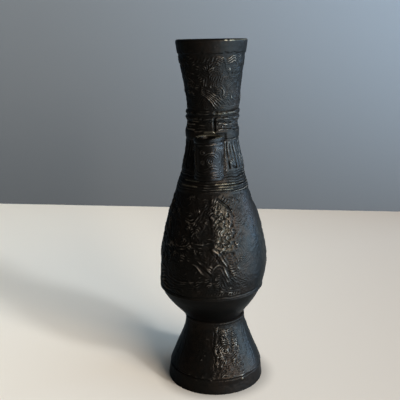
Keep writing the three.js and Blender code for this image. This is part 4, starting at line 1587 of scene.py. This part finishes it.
def scene_groups(context):
    """The scene's sizes and relief in millimetres, its finish, and the seeded draws."""
    scene = context.scene
    relief = in_mm(scene.vase_relief)
    relief.rubbed = scene.vase_relief.rubbed
    return in_mm(scene.vase_sizes), relief, scene.vase_finish, np.random.default_rng(scene.vase_relief.seed)


def plain(face, sizes, relief, draws):
    """No relief: a skin that lies a little deeper and is smoother than the others."""
    relief.sink += BOWL_SINK
    relief.ripple *= BOWL_RIPPLE
    relief.dent *= BOWL_DENT


def make_cast(context, node, outlines, decorate, columns, pits, coat):
    """Make one cast piece: turn its outlines, push out its relief, and give it its coat."""
    sizes, relief, finish, draws = scene_groups(context)
    outside, inside = outlines(sizes)
    face = CastFace(outside, columns)
    decorate(face, sizes, relief, draws)
    face.pits(draws, pits, PIT_DEPTH)
    piece = turned(f"{node}_cast", outside, inside, columns)
    emboss(piece, face, face.lift(relief, draws))
    piece.data.materials.append(make_once(coat, bronze_patina, coat, finish))
    return piece


def tie(piece, node):
    """Tie a finished piece to the frame, in the place of its solid."""
    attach(piece, "root")
    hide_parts(node)


def make_section(context, node, outlines, decorate, columns, pits=60, coat="cast_patina"):
    """Make one of the vase's five sections, set it out of line and tie it to the frame."""
    piece = make_cast(context, node, outlines, decorate, columns, pits, coat)
    set_out_of_line(piece)
    tie(piece, node)


class VASE_OT_foot(bpy.types.Operator):
    """Make the cast foot with its scroll panels"""

    bl_idname = "vase.foot"
    bl_label = "Foot"

    def execute(self, context):
        make_section(context, "foot", foot_outlines, foot_relief, columns=440)
        return {"FINISHED"}


class VASE_OT_bowl(bpy.types.Operator):
    """Make the plain bowl"""

    bl_idname = "vase.bowl"
    bl_label = "Bowl"

    def execute(self, context):
        make_section(context, "bowl", bowl_outlines, plain, columns=240, pits=40, coat="smooth_patina")
        return {"FINISHED"}


class VASE_OT_body(bpy.types.Operator):
    """Make the pear-shaped body with its landscape relief"""

    bl_idname = "vase.body"
    bl_label = "Body"

    def execute(self, context):
        make_section(context, "body", body_outlines, body_relief, columns=460, pits=120)
        return {"FINISHED"}


class VASE_OT_neck(bpy.types.Operator):
    """Make the ringed neck with its collar and key frets"""

    bl_idname = "vase.neck"
    bl_label = "Neck"

    def execute(self, context):
        make_section(context, "neck", neck_outlines, neck_relief, columns=400)
        return {"FINISHED"}


class VASE_OT_mouth(bpy.types.Operator):
    """Make the trumpet mouth with its plain lip"""

    bl_idname = "vase.mouth"
    bl_label = "Mouth"

    def execute(self, context):
        make_section(context, "mouth", mouth_outlines, mouth_relief, columns=360)
        return {"FINISHED"}


class VASE_OT_ears(bpy.types.Operator):
    """Make the two tubular ears"""

    bl_idname = "vase.ears"
    bl_label = "Ears"

    def execute(self, context):
        for node, turn in (("front_ear", 0.0), ("rear_ear", math.pi)):
            piece = make_cast(
                context, node, ear_outlines, ear_relief, columns=180, pits=20, coat="ear_patina"
            )
            tip_rim(piece)
            out = Matrix.Translation((0.0, -EAR_AXIS * MM, 0.0))
            piece.data.transform(Matrix.Rotation(turn, 4, "Z") @ out)
            tie(piece, node)
        return {"FINISHED"}


class VASE_OT_fittings(bpy.types.Operator):
    """Finish the solder rings, the rivets and the floor plate"""

    bl_idname = "vase.fittings"
    bl_label = "Fittings"

    def execute(self, context):
        finish = context.scene.vase_finish
        solder = solder_film(finish)
        plate = bronze_patina("fitting_patina", finish)
        for name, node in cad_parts.items():
            if name.endswith("_solder"):
                material = solder
            elif name.endswith("_rivet") or name == "floor_plate":
                material = plate
            else:
                continue
            node.data.materials.clear()
            node.data.materials.append(material)
        return {"FINISHED"}


class VASE_OT_stage(bpy.types.Operator):
    """Set the floor, the backdrop, the lamps and the camera"""

    bl_idname = "vase.stage"
    bl_label = "Stage"

    def execute(self, context):
        stage = context.scene.vase_stage
        facing = Matrix.Rotation(stage.camera_azimuth, 4, "Z")
        reach = 2 * stage.floor_side
        cloth = plain_cloth("floor_cloth", stage.floor_left, stage.floor)
        self.sheet(context, "pale_floor", facing, reach, reach, cloth)
        upright = Matrix.Rotation(-stage.backdrop_turn, 4, "Z") @ Matrix.Rotation(math.pi / 2, 4, "X")
        behind = facing @ Matrix.Translation((0.0, stage.floor_depth, 0.0)) @ upright
        wall = painted_wall("backdrop_paint", stage.backdrop, stage.backdrop_right)
        self.sheet(context, "backdrop", behind, stage.backdrop_width, reach, wall)
        self.light(context, stage)
        self.aim(context, stage)
        return {"FINISHED"}

    def sheet(self, context, name, place, width, depth, material):
        """A flat sheet of the stage."""
        bpy.ops.object.select_all(action="DESELECT")
        bpy.ops.mesh.primitive_plane_add(size=1.0)
        prop = context.object
        prop.name = name
        prop.data.transform(place @ Matrix.Diagonal((width, depth, 1.0, 1.0)))
        prop.data.materials.append(material)

    def light(self, context, stage):
        """The lamps round the vase, the bright end of the table and an even sky."""
        for name in ("key", "window", "side", "room"):
            values = {prop: getattr(stage, f"{name}_{prop}") for prop in LAMP_VALUES}
            self.lamp(context, f"{name}_lamp", getattr(stage, name), stage.camera_azimuth, **values)
        reach, breadth = stage.table_length, stage.table_width
        end = self.panel(context, "table_end", stage.table, stage.window_colour, reach, breadth)
        end.visible_camera = False
        middle = stage.table_start + reach / 2
        upside = Matrix.Translation((middle, -stage.table_front, MM)) @ Matrix.Rotation(math.pi, 4, "X")
        end.matrix_world = Matrix.Rotation(stage.camera_azimuth, 4, "Z") @ upside
        world = bpy.data.worlds.new("even_sky")
        world.use_nodes = True
        world.node_tree.nodes["Background"].inputs["Color"].default_value = (*stage.sky, 1.0)
        context.scene.world = world

    def panel(self, context, name, watts, colour, width, height):
        """A flat rectangular lamp."""
        data = bpy.data.lights.new(name, "AREA")
        data.energy = watts
        data.shape = "RECTANGLE"
        data.size = width
        data.size_y = height
        data.color = colour
        panel = bpy.data.objects.new(name, data)
        context.collection.objects.link(panel)
        return panel

    def lamp(self, context, name, watts, front, colour, width, height, distance, azimuth, rise):
        """A flat lamp that faces the middle of the vase."""
        around = front + azimuth
        level = math.cos(rise)
        way = Vector((math.sin(around) * level, -math.cos(around) * level, math.sin(rise)))
        lamp = self.panel(context, name, watts, colour, width, height)
        lamp.location = Vector((0.0, 0.0, LIP_LEVEL * MM / 2)) + way * distance
        lamp.rotation_euler = (-way).to_track_quat("-Z", "Y").to_euler()

    def aim(self, context, stage):
        """The camera at the photograph's place."""
        data = bpy.data.cameras.new("camera")
        data.sensor_width = SENSOR_WIDTH
        data.lens = stage.camera_reach * SENSOR_WIDTH / IMAGE_SIDE
        data.clip_start = 0.01
        data.clip_end = 20.0
        camera = bpy.data.objects.new("camera", data)
        context.collection.objects.link(camera)
        pitch, yaw, roll = stage.camera_pitch, stage.camera_yaw, stage.camera_roll
        ahead = Vector((math.sin(yaw) * math.cos(pitch), math.cos(yaw) * math.cos(pitch), -math.sin(pitch)))
        right = ahead.cross(Vector((0.0, 0.0, 1.0))).normalized()
        up = right.cross(ahead)
        tilted_right = right * math.cos(roll) + up * math.sin(roll)
        tilted_up = up * math.cos(roll) - right * math.sin(roll)
        axes = Matrix((tilted_right, tilted_up, -ahead)).transposed().to_4x4()
        place = Matrix.Translation((0.0, -stage.camera_distance, stage.camera_height))
        camera.matrix_world = Matrix.Rotation(stage.camera_azimuth, 4, "Z") @ place @ axes
        context.scene.camera = camera


class VASE_PT_sidebar(bpy.types.Panel):
    """The vase's pieces and settings in the sidebar"""

    bl_idname = "VASE_PT_sidebar"
    bl_label = "Arrow Vase"
    bl_space_type = "VIEW_3D"
    bl_region_type = "UI"
    bl_category = "Arrow Vase"

    def draw(self, context):
        layout = self.layout
        for operator in OPERATORS:
            layout.operator(operator.bl_idname)
        for name, group in GROUPS.items():
            box = layout.box()
            box.label(text=group.__doc__)
            for prop in group.__annotations__:
                box.prop(getattr(context.scene, name), prop)


OPERATORS = (
    VASE_OT_foot,
    VASE_OT_bowl,
    VASE_OT_body,
    VASE_OT_neck,
    VASE_OT_mouth,
    VASE_OT_ears,
    VASE_OT_fittings,
    VASE_OT_stage,
)
GROUPS = {
    "vase_sizes": VaseSizes,
    "vase_relief": VaseRelief,
    "vase_finish": VaseFinish,
    "vase_stage": VaseStage,
}


def register():
    for group in GROUPS.values():
        bpy.utils.register_class(group)
    for item in (*OPERATORS, VASE_PT_sidebar):
        bpy.utils.register_class(item)
    for name, group in GROUPS.items():
        setattr(bpy.types.Scene, name, PointerProperty(type=group))


def unregister():
    for name in GROUPS:
        delattr(bpy.types.Scene, name)
    for item in (VASE_PT_sidebar, *reversed(OPERATORS), *reversed(list(GROUPS.values()))):
        bpy.utils.unregister_class(item)


def main():
    """Make every piece, then set the stage."""
    register()
    bpy.context.scene.view_settings.view_transform = "Standard"
    bpy.ops.vase.foot()
    bpy.ops.vase.bowl()
    bpy.ops.vase.body()
    bpy.ops.vase.neck()
    bpy.ops.vase.mouth()
    bpy.ops.vase.ears()
    bpy.ops.vase.fittings()
    bpy.ops.vase.stage()


if __name__ == "__main__":
    main()
